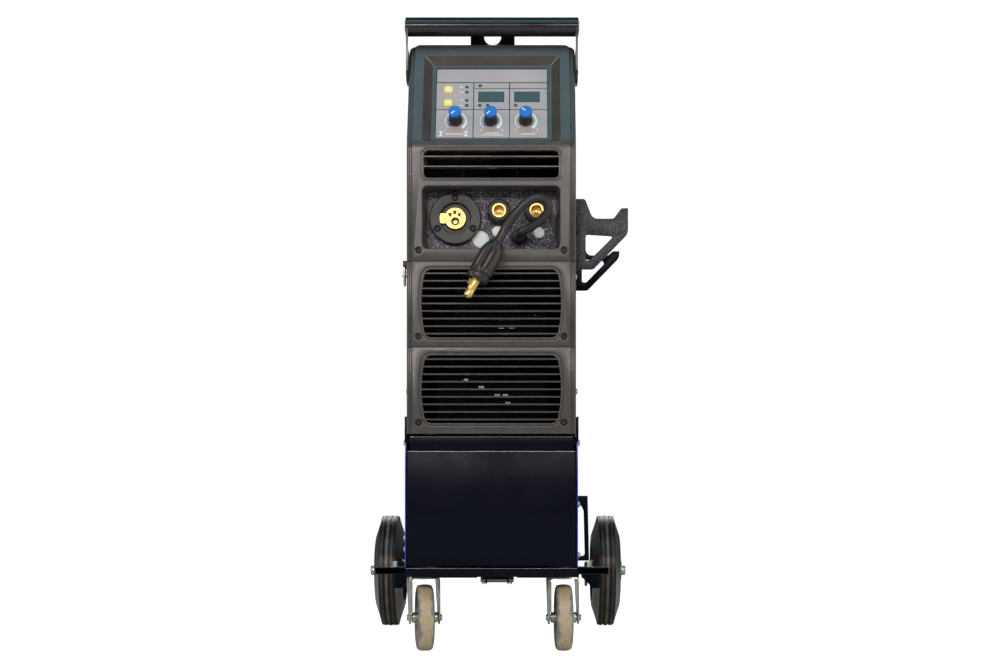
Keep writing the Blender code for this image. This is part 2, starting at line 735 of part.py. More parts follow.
def make_controls():
    for i, up in enumerate(BUTTON_UP):
        cap = label_block(
            (BUTTON_X - 7.0, BUTTON_X + 7.0),
            (up - 6.5, up + 6.5),
            (-4.0, 2.0),
            (BUTTON_X - 6.2, BUTTON_X + 6.2),
            (up - 5.7, up + 5.7),
        )
        new_part(f"mode_button_{i + 1}", cap, YELLOW_PLASTIC, on_label(BUTTON_X, up, 0.0))
    profile = (
        (0.0, -7.0),
        (3.0, -7.0),
        (3.0, GAP),
        (KNOB_R + 0.6, GAP),
        (KNOB_R + 0.6, 3.0),
        (KNOB_R, 5.0),
        (KNOB_R - 0.5, 24.0),
        (KNOB_R - 1.5, 25.0),
        (0.0, 25.0),
    )
    for x, tag in zip(KNOB_X, "lmr"):
        foot = on_label(x, KNOB_UP, 0.0)
        new_part("knob_" + tag, turned(profile, foot, LABEL_OUT, 24), BLUE_PLASTIC, foot)


def make_sockets():
    plate = PLATE_Y
    torch = (
        (0.0, 36.0),
        (20.0, 36.0),
        (20.0, -GAP),
        (38.5, -GAP),
        (38.5, -8.0),
        (37.0, -10.0),
        (21.7, -10.0),
        (21.7, -3.0),
        (16.4, -3.0),
        (16.4, -9.0),
        (0.0, -9.0),
    )
    new_part("torch_socket", turned(torch, (-54.4, plate, 643.7), (0, 1, 0), 32), BLACK_PLASTIC)
    power = (
        (0.0, 22.0),
        (14.0, 22.0),
        (14.0, -GAP),
        (18.0, -GAP),
        (18.0, -18.0),
        (16.5, -20.0),
        (10.5, -20.0),
        (10.5, -17.0),
        (7.0, -17.0),
        (7.0, -4.0),
        (0.0, -4.0),
    )
    for x, tag in ((11.0, "l"), (66.7, "r")):
        new_part("power_socket_" + tag, turned(power, (x, plate, 656.0), (0, 1, 0), 24), BLACK_PLASTIC)
    gland = (
        (0.0, 10.0),
        (8.5, 10.0),
        (8.5, -GAP),
        (11.5, -GAP),
        (11.5, -9.0),
        (9.5, -11.0),
        (8.6, -20.0),
        (0.0, -20.0),
    )
    new_part("lead_gland", turned(gland, (41.0, plate, 619.0), (0, 1, 0), 20), BLACK_PLASTIC)


def smooth_route(points, spacing):
    """Evenly spaced points on a centripetal Catmull-Rom curve through the given ones."""
    points = [Vector(p) for p in points]
    first = points[0] * 2 - points[1]
    last = points[-1] * 2 - points[-2]
    padded = [first] + points + [last]
    fine = []
    for p0, p1, p2, p3 in zip(padded, padded[1:], padded[2:], padded[3:]):
        knots = [0.0]
        for a, b in ((p0, p1), (p1, p2), (p2, p3)):
            knots.append(knots[-1] + math.sqrt((b - a).length))
        t0, t1, t2, t3 = knots
        for i in range(24):
            t = t1 + (t2 - t1) * i / 24
            a1 = p0 * ((t1 - t) / (t1 - t0)) + p1 * ((t - t0) / (t1 - t0))
            a2 = p1 * ((t2 - t) / (t2 - t1)) + p2 * ((t - t1) / (t2 - t1))
            a3 = p2 * ((t3 - t) / (t3 - t2)) + p3 * ((t - t2) / (t3 - t2))
            b1 = a1 * ((t2 - t) / (t2 - t0)) + a2 * ((t - t0) / (t2 - t0))
            b2 = a2 * ((t3 - t) / (t3 - t1)) + a3 * ((t - t1) / (t3 - t1))
            fine.append(b1 * ((t2 - t) / (t2 - t1)) + b2 * ((t - t1) / (t2 - t1)))
    fine.append(points[-1])
    lengths = [0.0]
    for a, b in zip(fine, fine[1:]):
        lengths.append(lengths[-1] + (b - a).length)
    count = max(2, round(lengths[-1] / spacing))
    route = []
    j = 0
    for i in range(count + 1):
        goal = lengths[-1] * i / count
        while j < len(lengths) - 2 and lengths[j + 1] < goal:
            j += 1
        share = (goal - lengths[j]) / (lengths[j + 1] - lengths[j])
        route.append(fine[j].lerp(fine[j + 1], min(1.0, share)))
    return route


def make_lead():
    straight = tuple(PLUG_TOP - PLUG_AXIS * back for back in LEAD_STRAIGHT)
    route = smooth_route(LEAD_ROUTE + straight, 14.0)
    curve = bpy.data.curves.new("polarity_lead", "CURVE")
    curve.dimensions = "3D"
    curve.bevel_depth = LEAD_R * MM
    curve.bevel_resolution = 3
    curve.use_fill_caps = True
    spline = curve.splines.new("POLY")
    spline.points.add(len(route) - 1)
    for point, place in zip(spline.points, route):
        point.co = (*(place * MM), 1.0)
    curve.materials.append(paint(*RUBBER))
    lead = bpy.data.objects.new("polarity_lead", curve)
    lead.location = (0.0, -MIDDLE_Y * MM, 0.0)
    bpy.context.scene.collection.objects.link(lead)
    sleeve = (
        (0.0, 0.0),
        (9.5, 0.0),
        (13.0, 6.0),
        (16.0, 14.0),
        (17.5, 22.0),
        (17.5, PLUG_LONG - 8.0),
        (15.0, PLUG_LONG),
        (7.0, PLUG_LONG),
        (7.0, PLUG_LONG - 6.0),
        (0.0, PLUG_LONG - 6.0),
    )
    new_part("lead_plug", turned(sleeve, PLUG_TOP, PLUG_AXIS, 24), BLACK_PLASTIC)
    pin = (
        (0.0, PLUG_LONG - 6.0 + GAP),
        (6.5, PLUG_LONG - 6.0 + GAP),
        (6.5, PLUG_LONG + PIN_LONG - 2.0),
        (5.5, PLUG_LONG + PIN_LONG),
        (0.0, PLUG_LONG + PIN_LONG),
    )
    new_part("lead_plug_pin", turned(pin, PLUG_TOP, PLUG_AXIS, 20), BRASS)


# ---------------------------------------------------------------- outside fittings


def make_handle():
    """Tube between two flat arms that are screwed to the sides of the housing."""
    centre = (58.0, 939.0)
    handle = new_part("carry_handle", rod(14.0, (-131.0, *centre), (131.0, *centre), 24), BLACK_PAINT)
    arm = arc(centre, 13.5, 200.0, -20.0, 8)
    arm += [(92.0, 905.0), (92.0, 868.0), (82.0, 855.0), (56.0, 855.0), (46.0, 868.0)]
    for side in (LEFT, RIGHT):
        edges = sorted((side * (BODY_HALF + 0.4), side * 129.0))
        join(handle, new_part("handle_arm", prism(arm, "X", *edges), BLACK_PAINT))


def make_lifting_lug():
    """Folded plate on top of the housing with a round lifting hole."""
    half = 33.7
    outline = [(-half, COVER_TOP + GAP), (half, COVER_TOP + GAP)]
    outline += arc((half - 10.0, 945.0), 10.0, 0.0, 90.0, 4)
    outline += arc((-half + 10.0, 945.0), 10.0, 90.0, 180.0, 4)
    lug = new_part("lifting_lug", prism(outline, "Y", 98.0, 102.0), BLACK_PAINT)
    foot = block((-half, half), (98.5, 138.0), (COVER_TOP + GAP, COVER_TOP + 4.0))
    join(lug, new_part("lug_foot", foot, BLACK_PAINT))
    cut(lug, new_part("lug_hole", rod(13.0, (0.0, 90.0, 937.0), (0.0, 110.0, 937.0), 24), BLACK_PAINT))


def make_hook(name, y, upper):
    """Upright plate with a cradle for coiled cables and a lightening hole, and a flange on the side."""
    root = BODY_HALF + 0.4
    outline = (
        (root, 577.7),
        (152.5, 577.7),
        (206.4, 633.0),
        *upper,
        (140.0, 684.6),
        (root, 684.6),
    )
    hole = ((142.0, 594.0), (149.0, 594.0), (179.0, 624.0), (176.0, 629.0), (142.0, 630.5))
    hook = new_part(name, prism(outline, "Y", y, y + 4.0), SPECKLE_PAINT)
    flange = block((root, root + 3.0), (y + 1.0, y + 26.0), (578.5, 684.0))
    join(hook, new_part("hook_flange", flange, SPECKLE_PAINT))
    cut(hook, new_part("hook_hole", prism(hole, "Y", y - 5.0, y + 10.0), SPECKLE_PAINT))


def make_latch():
    """Latch at the foot of the spool door: a bracket on the door and a lever that hooks over the keeper."""
    face = -BODY_HALF - 0.4
    bracket = (
        (face, LATCH_Y - 12.0),
        (-134.8, LATCH_Y - 12.0),
        (-134.8, LATCH_Y - 8.4),
        (-131.2, LATCH_Y - 8.4),
        (-131.2, LATCH_Y + 8.4),
        (-134.8, LATCH_Y + 8.4),
        (-134.8, LATCH_Y + 12.0),
        (face, LATCH_Y + 12.0),
    )
    new_part("latch_bracket", prism(bracket, "Z", 579.0, 588.0), ZINC)
    x, y, z = LATCH_PIVOT
    lever_outline = arc((x, z), 1.5, 0.0, 180.0, 6) + [(x - 1.5, z - 31.0), (x + 1.5, z - 31.0)]
    lever = prism(lever_outline, "Y", y - 8.0, y + 8.0)
    lever = new_part("latch_lever", lever, ZINC, LATCH_PIVOT)
    ring = turned(((2.6, -1.5), (5.2, -1.5), (5.2, 1.5), (2.6, 1.5)), (x + 0.5, y, 569.0), (0, 1, 0), 16)
    join(lever, new_part("latch_ring", ring, ZINC))


# ---------------------------------------------------------------- inside


def make_spool():
    hub = (2.0, 330.0, 740.0)
    post = (
        (0.0, 0.0),
        (24.0, 0.0),
        (24.0, -4.0),
        (20.0, -5.0),
        (20.0, -112.0),
        (14.0, -116.0),
        (0.0, -116.0),
    )
    new_part("spool_hub", turned(post, (hub[0] + 1.6, hub[1], hub[2]), (1, 0, 0)), BLACK_PLASTIC)
    reel = (
        (20.0 + GAP, -9.0),
        (148.0, -9.0),
        (148.0, -12.0),
        (128.0, -12.0),
        (128.0, -102.0),
        (148.0, -102.0),
        (148.0, -105.0),
        (20.0 + GAP, -105.0),
    )
    new_part("wire_spool", turned(reel, hub, (1, 0, 0), 40), COPPER_WIRE, hub)


def make_feeder():
    """Wire drive on the divider: plate, driven roll, and an arm that presses the upper roll on the wire."""
    wall = 3.7
    roll = (-20.0, 140.0, 640.0)
    top_roll = (-20.0, 140.0, 671.0)
    pivot = (168.0, 690.0)
    plate = new_part("feeder_plate", block((wall - 6.0, wall), (112.0, 178.0), (600.0, 700.0)), ALUMINIUM)
    cut(plate, new_part("shaft_hole", rod(5.0 + GAP, (-10, *roll[1:]), (10, *roll[1:])), ALUMINIUM))
    cut(plate, new_part("pivot_hole", rod(4.0 + GAP, (-10, *pivot), (10, *pivot)), ALUMINIUM))
    motor_hole = new_part("motor_hole", rod(6.0, (-10, *roll[1:]), (20, *roll[1:])), ALUMINIUM)
    cut(bpy.data.objects["centre_divider"], motor_hole)
    shaft = (
        (0.0, 26.2),
        (5.0, 26.2),
        (5.0, 8.0),
        (14.5, 8.0),
        (14.5, -6.0),
        (8.0, -6.0),
        (8.0, -10.0),
        (0.0, -10.0),
    )
    new_part("drive_roll", turned(shaft, roll, (1, 0, 0)), ZINC, roll)
    motor = (
        (0.0, 96.0),
        (26.0, 96.0),
        (28.0, 92.0),
        (28.0, 4.0),
        (8.0, 4.0),
        (8.0, 0.4),
        (0.0, 0.4),
    )
    new_part("feed_motor", turned(motor, (6.2, *roll[1:]), (1, 0, 0)), BLACK_PAINT)
    arm_pivot = (-10.0, *pivot)
    arm_outline = (
        (178.0, 680.0),
        (178.0, 700.0),
        (128.0, 700.0),
        (118.0, 690.0),
        (118.0, 688.0),
        (150.0, 688.0),
    )
    arm = new_part("pressure_arm", prism(arm_outline, "X", -12.0, -4.0), ALUMINIUM, arm_pivot)
    fork = ((154.0, 693.0), (132.0, 693.0), (126.0, 664.0), (154.0, 664.0))
    cheek = new_part("arm_cheek", prism(fork, "X", -11.0, -6.0), ALUMINIUM)
    axle = new_part("arm_axle", rod(4.0, (-30.0, *top_roll[1:]), (-7.0, *top_roll[1:])), ALUMINIUM)
    pin = new_part("arm_pivot", rod(4.0, (-10.0, *pivot), (wall - 2.0, *pivot)), ALUMINIUM)
    join(arm, cheek, axle, pin)
    ring = ((4.0 + GAP, -7.0), (15.2, -7.0), (15.2, 7.0), (4.0 + GAP, 7.0))
    new_part("pressure_roll", turned(ring, top_roll, (1, 0, 0)), ZINC, top_roll)


def make_inverter():
    """Power block on the base: a finned heat sink under a board and its coils, in one outline."""
    outline = (
        (-80.0, 323.6),
        (80.0, 323.6),
        (80.0, 500.0),
        (30.0, 500.0),
        (30.0, 540.0),
        (-60.0, 540.0),
        (-60.0, 500.0),
        (-80.0, 500.0),
    )
    block_part = new_part("inverter_unit", prism(outline, "Y", 70.0, 400.0), ALUMINIUM)
    fins = [((-70.0 + 20.0 * i, -60.0 + 20.0 * i), (60.0, 410.0), (318.0, 352.0)) for i in range(8)]
    cut(block_part, new_part("fin_gaps", blocks(fins), ALUMINIUM))


def make_fan():
    centre = (0.0, 490.0, FAN_Z)
    fan = new_part("cooling_fan", rod(16.0, (0.0, 478.0, FAN_Z), (0.0, 508.0, FAN_Z)), BLACK_PLASTIC, centre)
    count = 5
    for i in range(count):
        angle = 2 * math.pi * i / count
        blade = block((-11.0, 11.0), (-1.0, 1.0), (10.0, 50.0))
        blade.transform(Matrix.Rotation(math.radians(35.0), 4, "Z"))
        blade.transform(Matrix.Rotation(angle, 4, "Y"))
        blade.transform(Matrix.Translation(Vector(centre)))
        join(fan, new_part("fan_blade", blade, BLACK_PLASTIC))


def make_back_fittings():
    back = BODY_BACK + SHEET + 2 * GAP
    nipple = (
        (0.0, 22.0),
        (4.0, 22.0),
        (5.5, 18.0),
        (5.5, 8.0),
        (10.0, 8.0),
        (10.0, 0.0),
        (6.0, 0.0),
        (6.0, -10.0),
        (0.0, -10.0),
    )
    new_part("gas_inlet", turned(nipple, (70.0, back, 560.0), (0, 1, 0), 16), BRASS)
    gland = (
        (12.0, -12.0),
        (12.0, 0.0),
        (18.0, 0.0),
        (18.0, 10.0),
        (14.0, 24.0),
        (8.0, 24.0),
        (8.0, -12.0),
    )
    new_part("mains_gland", turned(gland, (-70.0, back, 560.0), (0, 1, 0), 20), BLACK_PLASTIC)
    rocker = (
        (back - 12.0, 842.0),
        (back + 4.0, 840.0),
        (back + 1.0, 855.0),
        (back + 4.0, 870.0),
        (back - 12.0, 868.0),
    )
    pivot = (-86.0, back - 5.0, 855.0)
    tilt = Matrix.Rotation(SWITCH_TILT, 4, "X")
    new_part("power_switch", prism(rocker, "X", -98.5, -73.5), BLACK_PLASTIC, pivot, tilt)


def main():
    clear_scene()
    make_tray()
    make_tow_pin()
    make_rear_bar()
    make_axle()
    make_rear_wheel("rear_wheel_l", LEFT)
    make_rear_wheel("rear_wheel_r", RIGHT)
    make_caster(LEFT, "l")
    make_caster(RIGHT, "r")
    make_side_bracket()
    make_cradle()
    make_cabinet()
    make_base()
    make_covers()
    make_back_panel()
    make_divider()
    make_plain_bezel("bezel_lower", BEZEL_BOTTOM, LOWER_TOP - GAP, (335.0, 440.0))
    make_plain_bezel("bezel_middle", LOWER_TOP, MIDDLE_TOP, (461.7, 566.0))
    make_upper_bezel()
    make_connector_plate()
    make_control_panel()
    make_controls()
    make_sockets()
    make_lead()
    make_handle()
    make_lifting_lug()
    make_hook("cable_hook_front", 80.0, FRONT_CRADLE)
    make_hook("cable_hook_rear", 300.0, REAR_CRADLE)
    make_latch()
    make_spool()
    make_feeder()
    make_inverter()
    make_fan()
    make_back_fittings()


main()
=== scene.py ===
import json
import math

import bmesh
import bpy
from mathutils import Matrix, Vector

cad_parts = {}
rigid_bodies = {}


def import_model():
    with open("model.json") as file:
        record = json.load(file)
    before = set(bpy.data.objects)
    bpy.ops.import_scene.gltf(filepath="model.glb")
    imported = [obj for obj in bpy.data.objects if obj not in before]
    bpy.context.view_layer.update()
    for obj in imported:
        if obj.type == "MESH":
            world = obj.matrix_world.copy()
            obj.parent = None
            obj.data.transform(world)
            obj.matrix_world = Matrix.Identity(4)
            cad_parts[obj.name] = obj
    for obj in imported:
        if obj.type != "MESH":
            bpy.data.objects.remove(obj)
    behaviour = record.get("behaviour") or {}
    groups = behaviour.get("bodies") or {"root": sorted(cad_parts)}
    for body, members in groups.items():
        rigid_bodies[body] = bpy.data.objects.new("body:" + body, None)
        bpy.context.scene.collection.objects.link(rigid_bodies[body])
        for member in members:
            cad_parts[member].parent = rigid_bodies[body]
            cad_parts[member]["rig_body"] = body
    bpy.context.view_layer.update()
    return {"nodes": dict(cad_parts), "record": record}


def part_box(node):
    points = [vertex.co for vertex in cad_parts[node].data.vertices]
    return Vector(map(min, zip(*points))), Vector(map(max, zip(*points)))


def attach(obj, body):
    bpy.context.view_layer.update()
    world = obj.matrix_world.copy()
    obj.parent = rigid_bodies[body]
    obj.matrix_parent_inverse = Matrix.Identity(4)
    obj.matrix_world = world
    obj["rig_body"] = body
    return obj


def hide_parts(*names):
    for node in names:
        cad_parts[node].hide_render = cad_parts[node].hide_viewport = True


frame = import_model()

# Shapes are made in the part's own design millimetres: X right, Y back from the face of the bezels, Z up.
MM = 0.001
FACE_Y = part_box("bezel_lower")[0].y
LEFT, RIGHT = -1, 1

# Camera, in metres. It looks level, from a little to the right of the middle.
CAMERA_SIDE = 0.0483
CAMERA_DISTANCE = 2.245
CAMERA_HEIGHT = 0.204
CAMERA_SHIFT = (-0.02415, 0.1815)
FOCAL_LENGTH = 55.04

# Bezels: half width, the upper one's lean with its bend, and the label that lies on it.
HALF = 124.7
LEAN = math.radians(22)
LEAN_START = 742
LEAN_BLEND = 20
BEZEL_DEPTH = 29.8
BEZEL_TOP = 916.8
LABEL_FOOT = Vector((0, 14, 761.2))
LABEL_UP = Vector((0, math.sin(LEAN), math.cos(LEAN)))
LABEL_OUT = Vector((0, -math.cos(LEAN), math.sin(LEAN)))
KNOB_X = (-53.6, -1.3, 50.7)
KNOB_UP = 30
LAMP_UPS = (91.1, 81.8, 67.1, 57.8)
SCREW_X = 107
RIB_X = (-41, 38)
GRILLE_HALF = 96
GRILLE_BULGE = 6.3
SLAT_PITCH = 11.1
LOUVRE = (99, 699.8, 739)
LOUVRE_SLATS = (716.1, 730.7)

# Connector bay.
PLATE_Y = 40
TORCH = (-54.4, PLATE_Y, 645.8)
TORCH_PINS = ((-7.6, 5.2), (-0.6, 8.5), (6.1, 5.1))
SOCKETS = ((11, "l"), (66.7, "r"))
SOCKET_Z = 656

# Housing, cabinet and cart.
DOOR_AXIS = (-125.2, 888)
LUG_TOP = 955
LUG_FOOT = 908.4
CABINET_FRONT = 8
CABINET_SIDE = 128.6
TRAY_TOP = 126
TOW_PIN = (486, 88.2)
WHEEL_R = 101.6
WHEEL_CENTRE = (198, 588, 101.6)
CASTER_X = 106
CASTER_Y = 87
CASTER_AXLE = (0, -32, 50)
CASTER_YAW = {LEFT: math.radians(8), RIGHT: math.radians(2.5)}

# Inside and back.
SPOOL = Vector((2, 330, 740))
DRIVE_ROLL = (-20, 140, 640)
PRESSURE_ROLL = (-20, 140, 671)
BACK_Y = 522.6
FAN_Z = 407.5

# Polarity lead: its radius, the points it passes, and the last, straight stretch into the plug's sleeve.
LEAD_R = 6.4
LEAD_ROUTE = (
    (41, 19.5, 619), (41, 12, 619), (42, 6, 619.2), (48, -2.5, 621), (60, -10, 626), (74, -16, 635.5),
    (83.5, -21, 648), (80.5, -26.5, 660), (66, -31, 663.5), (50, -32.5, 655), (37, -31, 641.5),
    (27, -28.3, 629),
)
PLUG_TOP = Vector((10.2, -28, 600.5))
PLUG_AXIS = Vector((-0.475, -0.108, -0.873)).normalized()
LEAD_STRAIGHT = (17, 8, 0.4)

SLOT_OF = {row["node"]: row["material_slot"] for row in frame["record"]["subparts"]}


def link(obj):
    bpy.context.scene.collection.objects.link(obj)
    return obj


def world(point):
    """A design point in the row frame, in metres."""
    return Vector((point[0] * MM, point[1] * MM + FACE_Y, point[2] * MM))


# ---------------------------------------------------------------- looks


def add(tree, kind, **values):
    """A shader node, with values set on its sockets by name, or on itself where it has no such socket."""
    node = tree.nodes.new(kind)
    for name, value in values.items():
        label = name.replace("_", " ").title()
        if label in node.inputs:
            node.inputs[label].default_value = value
        else:
            setattr(node, name, value)
    return node


def noise(tree, size, detail=2, stretch=(1, 1, 1)):
    """Noise whose patches are about this many millimetres across in the piece's own coordinates."""
    coords = add(tree, "ShaderNodeTexCoord")
    mapping = add(tree, "ShaderNodeMapping", scale=stretch)
    texture = add(tree, "ShaderNodeTexNoise", scale=1 / (size * MM), detail=detail)
    tree.links.new(coords.outputs["Object"], mapping.inputs["Vector"])
    tree.links.new(mapping.outputs["Vector"], texture.inputs["Vector"])
    return texture.outputs["Fac"]


def spread(tree, value, low, high, to_low=0, to_high=1):
    """Value stretched from one range to another, and held inside it."""
    node = add(tree, "ShaderNodeMapRange", from_min=low, from_max=high, to_min=to_low, to_max=to_high)
    tree.links.new(value, node.inputs["Value"])
    return node.outputs["Result"]


def mix(tree, share, one, two):
    """One colour into another. Each is a colour or an output."""
    node = add(tree, "ShaderNodeMix", data_type="RGBA")
    tree.links.new(share, node.inputs["Factor"])
    for side, colour in (("A", one), ("B", two)):
        socket = [s for s in node.inputs if s.name == side and s.type == "RGBA"][0]
        if isinstance(colour, tuple):
            socket.default_value = (*colour, 1)
        else:
            tree.links.new(colour, socket)
    return [s for s in node.outputs if s.type == "RGBA"][0]


def calculate(tree, operation, one, two=None):
    node = add(tree, "ShaderNodeMath", operation=operation)
    for socket, value in zip(node.inputs, (one, two)):
        if isinstance(value, (int, float)):
            socket.default_value = value
        elif value is not None:
            tree.links.new(value, socket)
    return node.outputs["Value"]


def rough(tree, height, depth):
    """Bumps of this height in millimetres."""
    shader = tree.nodes["Principled BSDF"]
    node = add(tree, "ShaderNodeBump", distance=depth * MM, strength=1)
    tree.links.new(height, node.inputs["Height"])
    if shader.inputs["Normal"].links:
        tree.links.new(shader.inputs["Normal"].links[0].from_socket, node.inputs["Normal"])
    tree.links.new(node.outputs["Normal"], shader.inputs["Normal"])


def scaled(colour, share):
    return tuple(min(1, c * share) for c in colour)


def surface(
    name, colour, roughness, metallic=0, coat=0, shine=0.5, grain=0.5, depth=0.012, patch=45, vary=0.1
):
    """A Principled material with a fine grain, and slow patches of colour and roughness. Sizes are in mm."""
    material = bpy.data.materials.new(name)
    material.use_nodes = True
    tree = material.node_tree
    shader = tree.nodes["Principled BSDF"]
    shader.inputs["Metallic"].default_value = metallic
    shader.inputs["Coat Weight"].default_value = coat
    shader.inputs["Specular IOR Level"].default_value = shine
    shader.inputs["Coat Roughness"].default_value = 0.12
    slow = noise(tree, patch, 4)
    tone = mix(tree, spread(tree, slow, 0.3, 0.7), scaled(colour, 1 - vary), scaled(colour, 1 + vary))
    tree.links.new(tone, shader.inputs["Base Color"])
    worn = spread(tree, noise(tree, patch * 0.6, 5), 0.3, 0.7, roughness - 0.05, roughness + 0.05)
    tree.links.new(worn, shader.inputs["Roughness"])
    if depth:
        rough(tree, noise(tree, grain, 2), depth)
    return material


def across(tree):
    """Distance from the piece's own middle along its X axis, in millimetres."""
    coords = add(tree, "ShaderNodeTexCoord")
    split = add(tree, "ShaderNodeSeparateXYZ")
    tree.links.new(coords.outputs["Object"], split.inputs["Vector"])
    size = calculate(tree, "ABSOLUTE", split.outputs["X"])
    return calculate(tree, "MULTIPLY", size, 1 / MM)


def repaint(material, share, colour):
    """Covers part of a material with another colour."""
    tree = material.node_tree
    base = tree.nodes["Principled BSDF"].inputs["Base Color"]
    tree.links.new(mix(tree, share, base.links[0].from_socket, colour), base)


def hammered(name, dark, light, spark):
    """Hammertone powder coat: dark cells, lighter middles and bright flecks one or two millimetres across."""
    material = surface(name, dark, 0.42, shine=0.3, grain=2.2, depth=0.1)
    tree = material.node_tree
    repaint(material, spread(tree, noise(tree, 2.6, 2), 0.46, 0.6), light)
    repaint(material, spread(tree, noise(tree, 1.7, 1), 0.585, 0.65), spark)
    return material


def worn_tread(name):
    """Grey tyre with a tan band worn along the middle of its tread."""
    material = surface(name, (0.165, 0.165, 0.175), 0.62, grain=0.6, depth=0.03, patch=14, vary=0.25)
    tree = material.node_tree
    wavy = calculate(tree, "ADD", across(tree), spread(tree, noise(tree, 16, 4), 0.2, 0.8, -6, 6))
    band = spread(tree, wavy, 7.4, 10.2, 1, 0)
    dust = mix(tree, spread(tree, noise(tree, 3, 4), 0.3, 0.7), (0.36, 0.27, 0.17), (0.5, 0.39, 0.26))
    repaint(material, band, dust)
    return material


def dusty_tyre(name):
    """Black rubber with tan dust worn on the middle rib of the tread and brown scuffs along the others."""
    material = surface(name, (0.013, 0.01, 0.009), 0.34, grain=0.8, depth=0.02, patch=30, vary=0.3)
    tree = material.node_tree
    middle = spread(tree, across(tree), 1.6, 3, 0.85, 0)
    worn = calculate(tree, "MULTIPLY", middle, spread(tree, noise(tree, 26, 4), 0.35, 0.65, 0.25, 1))
    repaint(material, worn, (0.2, 0.155, 0.1))
    wave = calculate(tree, "COSINE", calculate(tree, "MULTIPLY", across(tree), 2 * math.pi / 9))
    ribs = calculate(tree, "MULTIPLY", spread(tree, wave, 0.2, 0.9), spread(tree, across(tree), 4, 6))
    scuffed = calculate(tree, "MULTIPLY", ribs, spread(tree, noise(tree, 18, 4), 0.35, 0.65, 0.1, 0.6))
    repaint(material, scuffed, (0.075, 0.05, 0.036))
    return material


def wound_wire(name):
    """Copper-coated wire: thin turns side by side along the reel's axle."""
    material = surface(name, (0.62, 0.3, 0.15), 0.3, 1, grain=2, depth=0.05, patch=20)
    tree = material.node_tree
    turns = calculate(tree, "SINE", calculate(tree, "MULTIPLY", across(tree), 2 * math.pi / 1.2))
    rough(tree, turns, 0.3)
    return material


def brushed(name, colour, roughness, depth):
    """Metal with the fine marks of turning or rolling."""
    material = surface(name, colour, roughness, 1, grain=0.35, depth=depth, patch=12, vary=0.08)
    if depth:
        rough(material.node_tree, noise(material.node_tree, 0.5, 2, (0.12, 1, 1)), depth)
    return material


LOOKS = {
    "black_plastic": surface("satin_plastic", (0.05, 0.042, 0.041), 0.3, grain=0.45, depth=0.01),
    "black_paint": surface(
        "black_powder_coat", (0.0034, 0.004, 0.009), 0.28, shine=0.06, grain=2.6, depth=0.004
    ),
    "gloss_black": surface("gloss_enamel", (0.006, 0.006, 0.007), 0.2, grain=2.6, depth=0.004),
    "blue_paint": surface("blue_powder_coat", (0.012, 0.035, 0.34), 0.3, coat=0.2, grain=1.8, depth=0.02),
    "speckle_paint": hammered("hammertone", (0.034, 0.029, 0.04), (0.095, 0.085, 0.108), (0.4, 0.37, 0.43)),
    "label": surface("label_film", (0.385, 0.315, 0.322), 0.36, grain=0.6, depth=0.004, patch=70, vary=0.06),
    "blue_plastic": surface("blue_cap", (0, 0.13, 0.5), 0.3, grain=0.6, depth=0.006),
    "yellow_plastic": surface("yellow_key", (0.86, 0.74, 0.12), 0.38, grain=0.6, depth=0.006),
    "brass": brushed("turned_brass", (0.74, 0.5, 0.18), 0.36, 0),
    "zinc": brushed("zinc_plate", (0.46, 0.49, 0.45), 0.34, 0.008),
    "rubber": dusty_tyre("tyre_rubber"),
    "grey_rubber": worn_tread("caster_rubber"),
    "aluminium": brushed("cast_aluminium", (0.62, 0.62, 0.63), 0.38, 0.012),
    "wire": wound_wire("copper_wire"),
    "dark_speckle": hammered(
        "dark_hammertone", (0.013, 0.011, 0.016), (0.036, 0.033, 0.042), (0.15, 0.14, 0.17)
    ),
    "deep_black": surface("matt_black", (0.012, 0.012, 0.013), 0.5, grain=0.6, depth=0.02),
    # painted shade: near-black for parts inside the housing, as dark as the shade they sit in, whatever their
    # own material
    "inside": surface("painted_shade_black", (0.002, 0.002, 0.002), 0.6, shine=0.05, grain=1.2, depth=0.01),
    # painted highlight: a bright metal finish for the rods that stand for light caught on the gloss paint's
    # front edges
    "painted_highlight_edge": surface("painted_highlight_edge", (0.36, 0.34, 0.34), 0.24, 1, grain=1.4, depth=0.004),
    "cable_rubber": surface("cable_rubber", (0.014, 0.011, 0.009), 0.36, grain=0.7, depth=0.02, patch=25),
    "flange": surface("flange_plastic", (0.026, 0.026, 0.028), 0.45, grain=0.5, depth=0.02),
    "glass": surface("display_glass", (0.03, 0.032, 0.041), 0.14, grain=4, depth=0.002),
    "print_dark": surface("dark_ink", (0.022, 0.028, 0.034), 0.45, grain=0.6, depth=0.003),
    "print_light": surface("white_ink", (0.8, 0.8, 0.78), 0.5, grain=0.6, depth=0.003),
    "print_soft": surface("grey_ink", (0.5, 0.5, 0.5), 0.5, grain=0.6, depth=0.003),
    # painted light: a near-white finish for the specks of light seen inside the grilles
    "painted_glint_white": surface("painted_glint_white", (0.94, 0.93, 0.9), 0.42, grain=0.6, depth=0.004),
    "sticker": surface("sticker_paper", (0.9, 0.9, 0.88), 0.6, grain=0.6, depth=0.004),
    "grey_plastic": surface("grey_moulding", (0.17, 0.17, 0.165), 0.45, grain=0.5, depth=0.015),
}


# ---------------------------------------------------------------- mesh tools


def piece(name, bm, slot="black_paint", body="cart", look=None, replaces=(), local=None, sharp=32):
    """A finished object from a mesh in design millimetres. Its shader coordinates keep to its own frame."""
    bmesh.ops.recalc_face_normals(bm, faces=bm.faces)
    local = local or Matrix.Identity(4)
    bm.transform(Matrix.Scale(MM, 4) @ local.inverted())
    mesh = bpy.data.meshes.new(name)
    bm.to_mesh(mesh)
    bm.free()
    mesh.shade_smooth()
    mesh.set_sharp_from_angle(angle=math.radians(sharp))
    mesh.materials.append(LOOKS[look or slot])
    obj = link(bpy.data.objects.new(name, mesh))
    obj.matrix_world = Matrix.Translation(world(local.translation)) @ local.to_3x3().to_4x4()
    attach(obj, body)
    if replaces:
        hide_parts(*([replaces] if isinstance(replaces, str) else replaces))
    return obj


